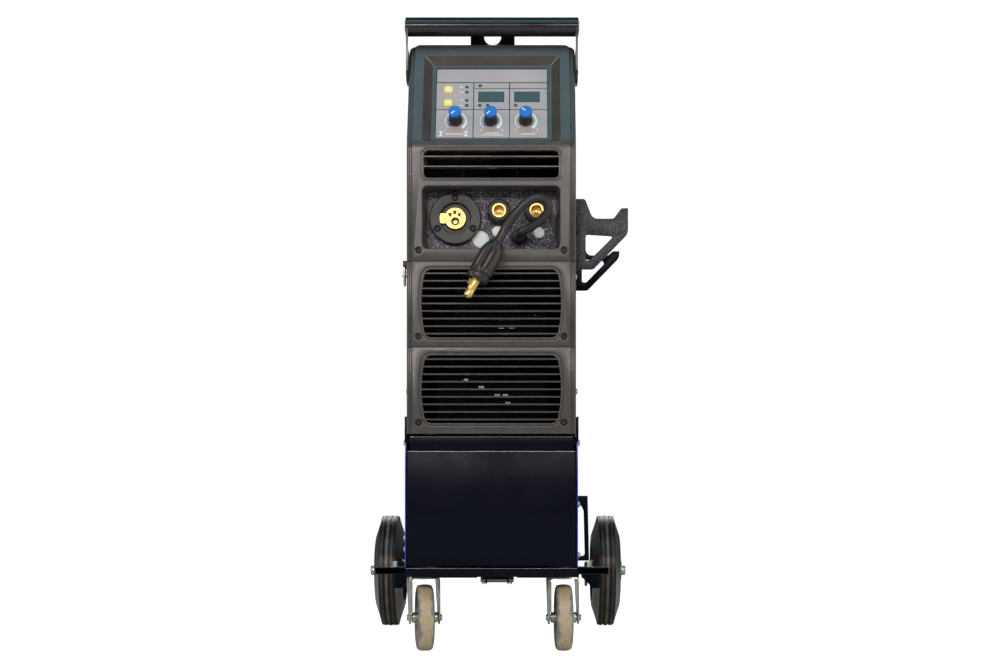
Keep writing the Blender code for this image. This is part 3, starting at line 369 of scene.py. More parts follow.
def merge(*meshes):
    """Several meshes as one, each still its own closed shell."""
    whole = bmesh.new()
    for bm in meshes:
        data = bpy.data.meshes.new("part")
        bm.to_mesh(data)
        bm.free()
        whole.from_mesh(data)
        bpy.data.meshes.remove(data)
    return whole


def moved(bm, matrix):
    bm.transform(matrix)
    return bm


def facing(axis, centre):
    """The frame at a centre whose Z points along an axis."""
    turn = Vector((0, 0, 1)).rotation_difference(Vector(axis)).to_matrix().to_4x4()
    return Matrix.Translation(Vector(centre)) @ turn


def soften(bm, width, segments=2, angle=35):
    """Rounds the edges that turn by more than an angle."""
    edges = [e for e in bm.edges if len(e.link_faces) == 2 and e.calc_face_angle(0) > math.radians(angle)]
    bmesh.ops.bevel(
        bm, geom=edges, offset=width, segments=segments, profile=0.5, affect="EDGES", clamp_overlap=True
    )
    return bm


def rounded(outline, radius, steps=5):
    """An outline with each corner turned into an arc, or each by its own radius."""
    points = []
    count = len(outline)
    for i, corner in enumerate(outline):
        corner = Vector(corner)
        before = Vector(outline[i - 1]) - corner
        after = Vector(outline[(i + 1) % count]) - corner
        half = before.angle(after) / 2
        bend = radius[i] if isinstance(radius, (list, tuple)) else radius
        reach = min(bend / math.tan(half), 0.48 * before.length, 0.48 * after.length)
        if reach < 0.05 or half > math.radians(88):
            points.append(tuple(corner))
            continue
        bend = reach * math.tan(half)
        middle = corner + (before.normalized() + after.normalized()).normalized() * (bend / math.sin(half))
        start = corner + before.normalized() * reach - middle
        end = corner + after.normalized() * reach - middle
        angle = start.angle(end)
        for k in range(steps + 1):
            t = k / steps
            arm = (start * math.sin((1 - t) * angle) + end * math.sin(t * angle)) / math.sin(angle)
            points.append(tuple(middle + arm))
    return points


def prism(outline, axis, low, high):
    """An outline pushed along an axis. It lists the two other coordinates in X, Y, Z order."""
    where = "XYZ".index(axis)

    def point(pair, along):
        full = list(pair)
        full.insert(where, along)
        return full

    return loft([[point(pair, along) for pair in outline] for along in (low, high)])


def plate(outline, axis, low, high, edge=0.5, radius=0):
    """Sheet metal or a moulding with its edges rounded."""
    if radius:
        outline = rounded(outline, radius)
    return soften(prism(outline, axis, low, high), edge)


def hexagon(radius):
    return [(radius * math.cos(k * math.pi / 3), radius * math.sin(k * math.pi / 3)) for k in range(6)]


def block(x, y, z, edge=0.5):
    return plate(((x[0], y[0]), (x[1], y[0]), (x[1], y[1]), (x[0], y[1])), "Z", *z, edge=edge)


def loft(rings, closed=False):
    """Skin over rings of points, each with the same count. Closed joins the last to the first."""
    bm = bmesh.new()
    rows = [[bm.verts.new(point) for point in points] for points in rings]
    count = len(rows[0])
    pairs = list(zip(rows, rows[1:]))
    if closed:
        pairs.append((rows[-1], rows[0]))
    else:
        bm.faces.new(rows[0][::-1])
        bm.faces.new(rows[-1])
    for one, two in pairs:
        for i in range(count):
            after = (i + 1) % count
            bm.faces.new((one[i], one[after], two[after], two[i]))
    return bm


def lathe(profile, centre=(0, 0, 0), axis=(0, 0, 1), segments=32, flutes=0):
    """A (radius, along) profile turned about an axis. A third number is how deep its flutes are."""
    bm = bmesh.new()
    rings = []
    for radius, along, *cut in profile:
        if radius == 0:
            rings.append([bm.verts.new((0, 0, along))])
            continue
        row = []
        for i in range(segments):
            angle = 2 * math.pi * i / segments
            reach = radius - (cut[0] if cut else 0) * max(0, math.cos(flutes * angle)) ** 2
            row.append(bm.verts.new((reach * math.cos(angle), reach * math.sin(angle), along)))
        rings.append(row)
    pairs = list(zip(rings, rings[1:]))
    pairs.append((rings[-1], rings[0]))
    for one, two in pairs:
        if len(one) == 1 and len(two) == 1:
            continue
        for i in range(segments):
            corners = []
            for row, j in ((one, i), (one, i + 1), (two, i + 1), (two, i)):
                corner = row[j % len(row)]
                if corner not in corners:
                    corners.append(corner)
            bm.faces.new(corners)
    return moved(bm, facing(axis, centre))


def rod(radius, start, end, edge=0.5, segments=24):
    """A round bar with its ends rounded over."""
    start, end = Vector(start), Vector(end)
    long = (end - start).length
    inner = radius - edge
    profile = ((0, 0), (inner, 0), (radius, edge), (radius, long - edge), (inner, long), (0, long))
    return lathe(profile, start, (end - start).normalized(), segments)


def wire_ring(centre, axis, radius, thick, segments=48, around=8):
    """A ring of round wire."""
    profile = []
    for k in range(around):
        angle = 2 * math.pi * k / around
        profile.append((radius + thick * math.cos(angle), thick * math.sin(angle)))
    return lathe(profile, centre, axis, segments)


def carve(bm, *tools, operation="DIFFERENCE"):
    """One mesh cut by others, or joined with them."""
    for tool in tools:
        made = []
        for one in (bm, tool):
            bmesh.ops.recalc_face_normals(one, faces=one.faces)
            mesh = bpy.data.meshes.new("work")
            one.to_mesh(mesh)
            one.free()
            made.append(link(bpy.data.objects.new("work", mesh)))
        modifier = made[0].modifiers.new("cut", "BOOLEAN")
        modifier.operation = operation
        modifier.solver = "EXACT"
        modifier.object = made[1]
        graph = bpy.context.evaluated_depsgraph_get()
        bm = bmesh.new()
        bm.from_mesh(made[0].evaluated_get(graph).to_mesh())
        for obj in made:
            mesh = obj.data
            bpy.data.objects.remove(obj)
            bpy.data.meshes.remove(mesh)
    return bm


def from_node(node):
    """The CAD node's own shape in design millimetres, with its flat faces whole again."""
    bm = bmesh.new()
    bm.from_mesh(frame["nodes"][node].data)
    bm.transform(Matrix.Scale(1 / MM, 4) @ Matrix.Translation((0, -FACE_Y, 0)))
    bmesh.ops.remove_doubles(bm, verts=bm.verts, dist=0.005)
    bmesh.ops.dissolve_limit(bm, angle_limit=math.radians(0.8), verts=bm.verts, edges=bm.edges)
    return bm


def softened(node, width=0.6, look=None, extra=(), tools=()):
    """A piece in a CAD node's shape with rounded edges, for sheet metal whose shape is right."""
    bm = carve(from_node(node), *tools) if tools else from_node(node)
    bm = soften(bm, width)
    if extra:
        bm = merge(bm, *extra)
    body = frame["nodes"][node]["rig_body"]
    return piece(node + "_form", bm, SLOT_OF[node], body, look, node)


def ring(half, low, high, radius, bulge=0, side=10, steps=6, middle=0):
    """Points (across, up) on a rounded rectangle whose upright sides may bow outwards."""
    points = []
    bottom, top = low + radius, high - radius
    for i, (sign, z, start) in enumerate(((1, bottom, -90), (1, top, 0), (-1, top, 90), (-1, bottom, 180))):
        for k in range(steps + 1):
            angle = math.radians(start + 90 * k / steps)
            points.append((sign * (half - radius) + radius * math.cos(angle), z + radius * math.sin(angle)))
        if i in (0, 2):
            first, last = (bottom, top) if i == 0 else (top, bottom)
            for k in range(1, side):
                points.append((sign * half, first + (last - first) * k / side))
    centre, reach = (low + high) / 2, (high - low) / 2
    bowed = []
    for x, z in points:
        t = (z - centre) / reach
        bowed.append((middle + x * (1 + bulge / half * (1 - t * t)), z))
    return bowed


def face_y(z):
    """Depth of the upper bezel's face at a height: upright, then a soft bend, then leaning back."""
    rise = z - LEAN_START
    if rise <= 0:
        return 0
    if rise < LEAN_BLEND:
        return math.tan(LEAN) * rise * rise / (2 * LEAN_BLEND)
    return math.tan(LEAN) * (rise - LEAN_BLEND / 2)


def on_face(points, depth):
    """Points across and up, laid on the bezels' face at a depth behind it."""
    return [(x, face_y(z) + depth, z) for x, z in points]


def on_label(x, up, out):
    return LABEL_FOOT + Vector((x, 0, 0)) + LABEL_UP * up + LABEL_OUT * out


LABEL_FRAME = Matrix((
    (1, 0, LABEL_OUT.x, LABEL_FOOT.x), (0, LABEL_UP.y, LABEL_OUT.y, LABEL_FOOT.y),
    (0, LABEL_UP.z, LABEL_OUT.z, LABEL_FOOT.z), (0, 0, 0, 1),
))


# ---------------------------------------------------------------- camera, lights and floor


def make_camera():
    data = bpy.data.cameras.new("camera")
    data.sensor_width = 36
    data.lens = FOCAL_LENGTH
    data.shift_x, data.shift_y = CAMERA_SHIFT
    camera = link(bpy.data.objects.new("camera", data))
    camera.location = (CAMERA_SIDE, FACE_Y - CAMERA_DISTANCE, CAMERA_HEIGHT)
    camera.rotation_euler = (math.radians(90), 0, 0)
    bpy.context.scene.camera = camera


def softbox(name, place, target, size, watts, colour):
    data = bpy.data.lights.new(name, "AREA")
    data.shape = "RECTANGLE"
    data.size, data.size_y = size
    data.energy = watts
    data.color = colour
    light = link(bpy.data.objects.new(name, data))
    light.location = place
    light.rotation_mode = "QUATERNION"
    light.rotation_quaternion = (Vector(target) - Vector(place)).to_track_quat("-Z", "Y")


def make_studio():
    softbox("front_box_l", (-0.95, -3.2, 1.46), (0, -0.35, 0.7), (1.6, 0.42), 34, (1, 0.93, 0.87))
    softbox("front_box_r", (0.95, -3.2, 1.46), (0, -0.35, 0.7), (1.6, 0.42), 26, (1, 0.93, 0.87))
    softbox("top_box", (0, -1.6, 2.9), (0, -0.3, 0.8), (3, 1.5), 27, (0.34, 0.84, 1))
    softbox("left_box", (-2.4, -0.9, 1.1), (0, 0, 0.5), (1, 2.2), 22, (1, 0.84, 0.72))
    softbox("right_box", (2.4, -0.9, 1.1), (0, 0, 0.5), (1, 2.2), 22, (1, 0.84, 0.72))
    softbox("back_box", (0, 2.9, 1.9), (0, 0.2, 0.5), (3.4, 1.6), 40, (1, 1, 1))
    scene_world = bpy.data.worlds.new("studio")
    bpy.context.scene.world = scene_world
    scene_world.use_nodes = True
    tree = scene_world.node_tree
    tree.nodes.clear()
    out = add(tree, "ShaderNodeOutputWorld")
    seen = add(tree, "ShaderNodeBackground", color=(1, 1, 1, 1), strength=1.06)
    cast = add(tree, "ShaderNodeBackground", color=(0.93, 0.97, 1, 1), strength=0.12)
    path = add(tree, "ShaderNodeLightPath")
    both = add(tree, "ShaderNodeMixShader")
    tree.links.new(path.outputs["Is Camera Ray"], both.inputs["Fac"])
    tree.links.new(cast.outputs["Background"], both.inputs[1])
    tree.links.new(seen.outputs["Background"], both.inputs[2])
    tree.links.new(both.outputs["Shader"], out.inputs["Surface"])
    bpy.context.scene.view_settings.view_transform = "Standard"

    bm = bmesh.new()
    bmesh.ops.create_grid(bm, x_segments=8, y_segments=8, size=14)
    mesh = bpy.data.meshes.new("floor")
    bm.to_mesh(mesh)
    bm.free()
    pale = bpy.data.materials.new("pale_floor")
    pale.use_nodes = True
    tree = pale.node_tree
    shader = tree.nodes["Principled BSDF"]
    shader.inputs["Base Color"].default_value = (0.82, 0.82, 0.82, 1)
    shader.inputs["Roughness"].default_value = 0.9
    shader.inputs["Specular IOR Level"].default_value = 0.1
    shader.inputs["Emission Color"].default_value = (1, 1, 1, 1)
    path = add(tree, "ShaderNodeLightPath")
    glow = calculate(tree, "MULTIPLY", path.outputs["Is Camera Ray"], 0.92)
    tree.links.new(glow, shader.inputs["Emission Strength"])
    mesh.materials.append(pale)
    floor = link(bpy.data.objects.new("floor", mesh))


# ---------------------------------------------------------------- polarity lead


def smooth_route(points, spacing):
    """Evenly spaced points on a centripetal Catmull-Rom curve through the given ones."""
    points = [Vector(p) for p in points]
    padded = [points[0] * 2 - points[1]] + points + [points[-1] * 2 - points[-2]]
    fine = []
    for p0, p1, p2, p3 in zip(padded, padded[1:], padded[2:], padded[3:]):
        knots = [0]
        for a, b in ((p0, p1), (p1, p2), (p2, p3)):
            knots.append(knots[-1] + math.sqrt((b - a).length))
        t0, t1, t2, t3 = knots
        for i in range(24):
            t = t1 + (t2 - t1) * i / 24
            a1 = p0 * ((t1 - t) / (t1 - t0)) + p1 * ((t - t0) / (t1 - t0))
            a2 = p1 * ((t2 - t) / (t2 - t1)) + p2 * ((t - t1) / (t2 - t1))
            a3 = p2 * ((t3 - t) / (t3 - t2)) + p3 * ((t - t2) / (t3 - t2))
            b1 = a1 * ((t2 - t) / (t2 - t0)) + a2 * ((t - t0) / (t2 - t0))
            b2 = a2 * ((t3 - t) / (t3 - t1)) + a3 * ((t - t1) / (t3 - t1))
            fine.append(b1 * ((t2 - t) / (t2 - t1)) + b2 * ((t - t1) / (t2 - t1)))
    fine.append(points[-1])
    lengths = [0]
    for a, b in zip(fine, fine[1:]):
        lengths.append(lengths[-1] + (b - a).length)
    count = round(lengths[-1] / spacing)
    route = []
    j = 0
    for i in range(count + 1):
        goal = lengths[-1] * i / count
        while j < len(lengths) - 2 and lengths[j + 1] < goal:
            j += 1
        share = (goal - lengths[j]) / (lengths[j + 1] - lengths[j])
        route.append(fine[j].lerp(fine[j + 1], min(1, share)))
    return route, lengths[-1]


def make_lead():
    straight = tuple(PLUG_TOP - PLUG_AXIS * back for back in LEAD_STRAIGHT)
    route, length = smooth_route(LEAD_ROUTE + straight, 4)
    curve = bpy.data.curves.new("lead", "CURVE")
    curve.dimensions = "3D"
    curve.bevel_depth = LEAD_R * MM
    curve.bevel_resolution = 6
    curve.use_fill_caps = True
    spline = curve.splines.new("POLY")
    spline.points.add(len(route) - 1)
    for point, place in zip(spline.points, route):
        point.co = (*world(place), 1)
    curve.materials.append(LOOKS["cable_rubber"])
    lead = link(bpy.data.objects.new("lead", curve))
    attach(lead, "cart")
    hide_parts("polarity_lead")

    sleeve = (
        (0, 0), (7.4, 0), (9, 0.8), (9.8, 2.5), (11.6, 5.5), (13.6, 9, 0.4), (15.4, 14, 1.2),
        (16.8, 20, 1.9), (17.2, 30, 2), (17.2, 46, 2), (17, 51, 1.2), (16.6, 53), (15.6, 54), (15.4, 55.4),
        (16.4, 56.4), (17.2, 57.6), (17.2, 60.5), (16.6, 63.5), (15.2, 65.6), (13.8, 66), (9, 66),
        (8.4, 65.4), (8.2, 60.2), (0, 60.2),
    )
    plug = lathe(sleeve, PLUG_TOP, PLUG_AXIS, 96, flutes=12)
    plug = piece("lead_plug_sleeve", plug, "rubber", look="cable_rubber", replaces="lead_plug")
    pin = (
        (0, 60.4), (7.6, 60.4), (7.6, 67), (7.2, 67.6), (6.5, 68), (6.5, 81), (6.1, 81.8), (6.5, 82.6),
        (6.5, 90.6), (6, 92.2), (4.9, 92.9), (3.2, 93), (2.6, 91.8), (0, 91.6),
    )
    key = moved(block((5, 10.2), (-2.6, 2.6), (68.5, 76.5), 0.5), facing(PLUG_AXIS, PLUG_TOP))
    brass = merge(lathe(pin, PLUG_TOP, PLUG_AXIS, 40), key)
    pin = piece("lead_plug_contact", brass, "brass", replaces="lead_plug_pin")


# ---------------------------------------------------------------- fasteners


def screw_head(radius, height, drive="cross"):
    """A screw head on Z with its drive cut in. It stands from 0 to height."""
    dome = (
        (0, -1.5), (radius * 0.8, -1.5), (radius, 0), (radius, height * 0.35),
        (radius * 0.93, height * 0.62), (radius * 0.74, height * 0.86), (radius * 0.4, height * 0.98),
        (0, height),
    )
    head = lathe(dome, segments=28)
    depth = (height * 0.35, height + 2)
    wide, thin = radius * 0.62, radius * 0.16
    if drive == "cross":
        arms = (((-wide, wide), (-thin, thin)), ((-thin, thin), (-wide, wide)))
        tools = [block(x, y, depth, 0.05) for x, y in arms]
    else:
        tools = [prism(hexagon(wide * 0.8), "Z", *depth)]
    return carve(head, *tools)


def bolt_head(radius, height):
    """A hexagon head on Z with a round washer under it."""
    washer = lathe(((0, -0.5), (radius * 1.35, -0.5), (radius * 1.35, 0.5), (radius * 1.25, 0.9), (0, 0.9)))
    return merge(washer, soften(prism(hexagon(radius), "Z", 0.8, height), 0.35))


def fasteners(name, kind, places, slot="zinc", body="cart", look=None):
    """Copies of one screw or bolt at (centre, axis) places, as one piece."""
    copies = []
    for centre, axis in places:
        copies.append(moved(kind.copy(), facing(axis, centre)))
    kind.free()
    return piece(name, merge(*copies), slot, body, look)


# ---------------------------------------------------------------- plastic bezels


EDGE_SECTION = (
    (HALF, None), (HALF, 6), (HALF - 0.25, 4.5), (HALF - 1, 3.5), (HALF - 2.3, 2.9), (HALF - 3.6, 2.7),
    (HALF - 4.2, 3), (HALF - 4.5, 4), (HALF - 6.7, 4), (HALF - 7.2, 1.5), (HALF - 7.7, 0.5),
    (HALF - 8.6, 0.08), (HALF - 9.8, 0),
)


def bezel_shell(stations):
    """A bezel's outside: a stepped section carried up the face by (y, z, in y, in z, narrower) stations."""
    rows = []
    for y, z, ny, nz, narrower in stations:
        row = []
        for x, depth in EDGE_SECTION:
            if depth is None:
                row.append((x - narrower, BEZEL_DEPTH + face_y(z), z))
            else:
                row.append((x - narrower, y + ny * depth, z + nz * depth))
        rows.append(row + [(-x, py, pz) for x, py, pz in row[::-1]])
    bm = loft(rows)
    bmesh.ops.remove_doubles(bm, verts=bm.verts, dist=0.01)
    return bm


def grille_rim(half, low, high, radius, bulge):
    """A double outline pressed round a grille: a fine groove, a ridge, and the wall of the opening."""
    section = (
        (6.1, 3), (6.1, 0), (4.9, 0), (4.6, 0.12), (4.4, 0.45), (4.3, 1.3), (3.3, 1.3), (3.15, 0.5),
        (2.9, 0.08), (2.5, -0.1), (1.2, -0.1), (0.75, 0.08), (0.4, 0.5), (0.2, 2), (0, 11), (2.2, 11),
        (2.4, 3),
    )
    rings = []
    for out, depth in section:
        rings.append(on_face(ring(half + out, low - out, high + out, radius + out, bulge), depth))
    return loft(rings, closed=True)


def slat(half, z, front=-0.35):
    """One louvre blade with a rounded nose, dropping a little towards the back."""
    section = ((front + 0.45, -1.15), (front, -0.6), (front, 0.5), (front + 0.45, 1.1), (13, 0.2), (13, -1.1))
    rows = []
    for x in (-half, -half + 0.8, half - 0.8, half):
        inset = 0.35 if abs(x) == half else 0
        rows.append([(x, y + inset, z + up * (0.8 if inset else 1)) for y, up in section])
    return loft(rows)


def screw_well(x, z):
    """A round recess for a bezel screw, with its rim flush with the face."""
    profile = ((0, 4.2), (4.9, 4.2), (5.1, 0.5), (5.35, 0.12), (5.7, 0), (6.5, 0), (6.5, 6), (0, 6))
    return lathe(profile, (x, 0, z), (0, 1, 0), 32)


def bezel(node, stations, openings, rims, screw_z, inner, rib_ends):
    """A bezel: its shell hollowed and pierced, finished rims in its openings, and two upright ribs behind."""
    low, high = rib_ends
    ribs = [block((x - 0.9, x + 0.9), (8, 13), (low - 2, high + 2), 0.2) for x in RIB_X]
    # The ribs behind the grilles are drawn near-black: painted shade.
    piece(node + "_ribs", merge(*ribs), "black_plastic", look="inside")
    wells = [(-SCREW_X, screw_z), (SCREW_X, screw_z)]
    shell = bezel_shell(stations)
    tools = [inner] + openings
    tools += [lathe(((0, -9), (6.4, -9), (6.4, 12), (0, 12)), (x, 0, z), (0, 1, 0)) for x, z in wells]
    shell = carve(shell, *tools)
    wells = [screw_well(x, z) for x, z in wells]
    piece(node + "_shell", merge(shell, *rims, *wells), "black_plastic", replaces=node)


def foot_stations(z):
    """The rounded lower edge of a bezel."""
    return [(0.7, z, 1, 0, 0), (0.15, z + 0.25, 1, 0, 0), (0, z + 0.7, 1, 0, 0)]


def opening(half, low, high, radius, bulge=0, deep=20):
    """A cutter for an opening that its rim then fills."""
    outline = ring(half, low, high, radius, bulge)
    return loft([[(x, y, z) for x, z in outline] for y in (-12, deep)])


def make_plain_bezel(node, bottom, top, low, high, screw_z):
    stations = foot_stations(bottom) + [(0, top - 0.7, 1, 0, 0), (0.15, top - 0.25, 1, 0, 0)]
    stations.append((0.7, top, 1, 0, 0))
    inner = block((-114, 114), (3, 40), (bottom + 3, top - 3), 0.05)
    cutter = opening(GRILLE_HALF + 6, low - 6, high + 6, 14, GRILLE_BULGE)
    rim = grille_rim(GRILLE_HALF, low, high, 8, GRILLE_BULGE)
    centre, reach = (low + high) / 2, (high - low) / 2
    blades = []
    for i in range(9):
        z = centre + (i - 4) * SLAT_PITCH
        t = (z - centre) / (reach + 3)
        blades.append(slat((GRILLE_HALF + 3) * (1 + GRILLE_BULGE / GRILLE_HALF * (1 - t * t)) + 0.6, z))
    bezel(node, stations, [cutter], [rim, *blades], screw_z, inner, (low, high))


def bay_rim():
    """The lip and walls of the connector bay. Its sides draw in towards the plate."""
    section = (
        (103.6, 2.5, 10.5, 3), (103.6, 2.5, 10.5, 0), (102.4, 1.3, 9.3, 0), (101.9, 0.7, 8.7, 0.12),
        (101.5, 0.3, 8.3, 0.5), (101.2, 0, 8, 1.2), (96, 0, 6.5, PLATE_Y - 0.4), (99, 3, 9, PLATE_Y - 0.4),
    )
    rings = []
    for half, out, radius, depth in section:
        rings.append([(x, depth, z) for x, z in ring(half, 595 - out, 687 + out, radius)])
    return loft(rings, closed=True)


def panel_rim():
    """The frame that slopes from the leaning face down to the control label."""
    rings = []
    for half, low, high, radius, depth in (
        (104.6, 750.4, 897.7, 7, 3), (104.6, 750.4, 897.7, 7, 0), (102.6, 752.3, 895.8, 5.6, 0),
        (102, 752.9, 895.2, 5.2, 0.1), (101.5, 753.4, 894.7, 5, 0.5),
    ):
        rings.append(on_face(ring(half, low, high, radius), depth))
    for half, low, high, radius, out in (
        (90.4, -6, 130.4, 3, 2.6), (89.4, -5.2, 129.4, 2.6, 1.8), (83.6, -1.1, 124.7, 1.6, 1.8),
        (83.2, -0.7, 124.3, 1.4, 1.4), (83.1, -0.6, 124.2, 1.4, -2.5), (92, -8, 132, 3, -2.5),
    ):
        rings.append([on_label(x, up, out) for x, up in ring(half, low, high, radius)])
    return loft(rings, closed=True)


def make_upper_bezel():
    bottom = 577.3
    slope = math.tan(LEAN)
    radius = 13
    corner = 11
    centre_z = BEZEL_TOP - radius
    centre_y = slope * (centre_z - LEAN_START - LEAN_BLEND / 2) + radius / math.cos(LEAN)
    stations = foot_stations(bottom)
    for i in range(9):
        z = LEAN_START + LEAN_BLEND * i / 8
        tilt = math.atan(slope * i / 8)
        stations.append((face_y(z), z, math.cos(tilt), -math.sin(tilt), 0))
    stations.append((face_y(BEZEL_TOP - corner), BEZEL_TOP - corner, math.cos(LEAN), -math.sin(LEAN), 0))
    for i in range(13):
        angle = math.radians(158 - 68 * i / 12)
        z = centre_z + radius * math.sin(angle)
        rise = min(corner, max(0, z - (BEZEL_TOP - corner)))
        narrower = corner - math.sqrt(max(0, corner * corner - rise * rise))
        y = centre_y + radius * math.cos(angle)
        stations.append((y, z, -math.cos(angle), -math.sin(angle), narrower))
    stations.append((BEZEL_DEPTH + face_y(BEZEL_TOP) - 0.2, BEZEL_TOP, 0, -1, corner))
    outline = [(3, bottom + 3), (3, LEAN_START), (3 + face_y(762), 762), (3 + face_y(900), 900)]
    outline += [(face_y(912) + 9, 912), (150, 912), (150, 730), (60, 730), (60, bottom + 3)]
    inner = prism(outline, "X", -112, 112)
    half, low, high = LOUVRE
    cutters = [
        opening(103.5, 592.6, 689.4, 10.4),
        opening(half + 6, low - 6, high + 6, 14),
        opening(104.5, 750.5, 897.6, 6.9, deep=140),
    ]
    blades = [slat(half + 3.6, z) for z in LOUVRE_SLATS]
    rims = [bay_rim(), grille_rim(half, low, high, 7, 0), panel_rim(), *blades]
    bezel("bezel_upper", stations, cutters, rims, 592.6, inner, (low, high))


def make_bezels():
    make_plain_bezel("bezel_lower", 323.4, 450.6, 339.2, 438.2, 339.6)
    make_plain_bezel("bezel_middle", 451.1, 576.9, 465.2, 564.2, 466)
    make_upper_bezel()
    places = []
    for z in (339.6, 466, 592.6):
        places += [((side * SCREW_X, 4.3, z), (0, -1, 0)) for side in (LEFT, RIGHT)]
    fasteners("bezel_screws", screw_head(4, 2.2), places, look="deep_black")


# ---------------------------------------------------------------- control panel


def label_piece(name, shapes, look=None, slot="label", body="cart", replaces=()):
    """Flat shapes made in the label's own plane, laid on the leaning panel."""
    return piece(name, moved(merge(*shapes), LABEL_FRAME), slot, body, look, replaces)


def inked(left, low, right, high, top=0.16, radius=0):
    """A printed area in the label's plane, a hair above the film."""
    outline = ((left, low), (right, low), (right, high), (left, high))
    return prism(rounded(outline, radius, 3) if radius else outline, "Z", 0.02, top)


def frame_line(left, low, right, high, width, top=0.16):
    return [
        inked(left, low, right, low + width, top),
        inked(left, high - width, right, high, top),
        inked(left, low + width, left + width, high - width, top),
        inked(right - width, low + width, right, high - width, top),
    ]


def scale_arc(x, up, radius, start, end, thin, thick):
    """A printed arc that widens along its way. Angles are clockwise from the top."""
    inside, outside = [], []
    steps = 30
    for i in range(steps + 1):
        t = i / steps
        angle = math.radians(start + (end - start) * t)
        half = (thin + (thick - thin) * t) / 2
        for rim, points in ((radius - half, inside), (radius + half, outside)):
            points.append((x + rim * math.sin(angle), up + rim * math.cos(angle)))
    return prism(outside + inside[::-1], "Z", 0.02, 0.16)


def digit(text, x, up, tall):
    """A 0 or a 1 from straight strokes."""
    stroke, half = tall * 0.17, tall / 2
    left, right = x - tall * 0.275, x + tall * 0.275
    bars = [(right - stroke, up, right, up + half), (right - stroke, up - half, right, up)]
    if text == "0":
        bars.insert(0, (left, up + half - stroke, right, up + half))
        bars.append((left, up - half, right, up - half + stroke))
        bars += [(left, up - half, left + stroke, up), (left, up, left + stroke, up + half)]
    return [inked(*bar) for bar in bars]


def make_label():
    film = plate([(-82.6, -0.2), (82.6, -0.2), (82.6, 123.8), (-82.6, 123.8)], "Z", -1.6, 0, 0.3, 1.2)
    label_piece("control_label", [film], "label", replaces="control_panel")
    lines = [inked(-82.4, 98.6, 82.4, 100)]
    lines += [inked(x - 0.75, 0.2, x + 0.75, 99) for x in (-27.3, 26.4)]
    lines += [inked(-82.4, 50, 82.4, 51.2), inked(-27, 88, 82.4, 89)]
    label_piece("label_lines", lines, "print_dark")
    lamps = [(-37.4, up) for up in LAMP_UPS] + [(-17.7, 93.6), (-18, 58), (-6.2, 58.4), (35.5, 58)]
    squares = [inked(x - 2.25, up - 2, x + 2.25, up + 2, 0.5, 0.4) for x, up in lamps]
    label_piece("label_lamps", squares, "print_dark")
    windows, frames = [], []
    for left, right in ((-20.4, 18.7), (33.3, 71.9)):
        outline = [(left, 63.6), (right, 63.6), (right, 82.8), (left, 82.8)]
        windows.append(plate(outline, "Z", -0.2, 0.55, 0.2, 0.8))
        frames += frame_line(left - 1, 62.6, right + 1, 83.8, 0.7, 0.3)
    for left, right, high in ((-26.2, 25.4, 87.6), (27.6, 82.2, 87.6), (-82.2, -28.4, 98.2)):
        frames += frame_line(left, 51.6, right, high, 0.35) + frame_line(left, 0.4, right, 49.6, 0.35)
    label_piece("display_windows", windows, "glass")
    label_piece("label_frames", frames, "print_soft")
    marks = []
    for x in KNOB_X:
        marks.append(scale_arc(x, KNOB_UP, 15.6, -142, 142, 0.7, 4.2))
        marks += digit("0", x - 14.6, 14.4, 3)
        marks += digit("1", x + 15, 14.4, 3) + digit("0", x + 17.6, 14.4, 3)
    label_piece("label_scales", marks, "print_light")
    captions = [inked(-68, 6.2, -42, 7.6), inked(-9.5, 8, 10.5, 9.4), inked(-15, 4.6, 17, 5.7)]
    captions += [inked(44, 6.4, 64, 7.7)]
    for x in (-75, -38):
        captions += [inked(x - 3.4, 10.6, x + 3.4, 11.6), inked(x - 3.4, 3, x + 3.4, 4)]
        for foot, neck in ((10.6, 8.2), (4, 6.4)):
            cone = [(x - 2.6, foot), (x + 2.6, foot), (x + 0.9, neck), (x - 0.9, neck)]
            captions.append(prism(cone, "Z", 0.02, 0.16))
        captions += [inked(x - 0.8, 6.2, x + 0.8, 8.4)]
    for up in LAMP_UPS:
        captions += [inked(-48, up - 0.5, -42.5, up + 0.5), inked(-48, up - 0.5, -47, up + 1.6)]
    label_piece("label_marks", captions, "print_light")


def superellipse(half_x, half_y, power, count=40):
    points = []
    for i in range(count):
        angle = 2 * math.pi * i / count
        c, s = math.cos(angle), math.sin(angle)
        x = half_x * math.copysign(abs(c) ** (2 / power), c)
        points.append((x, half_y * math.copysign(abs(s) ** (2 / power), s)))
    return points


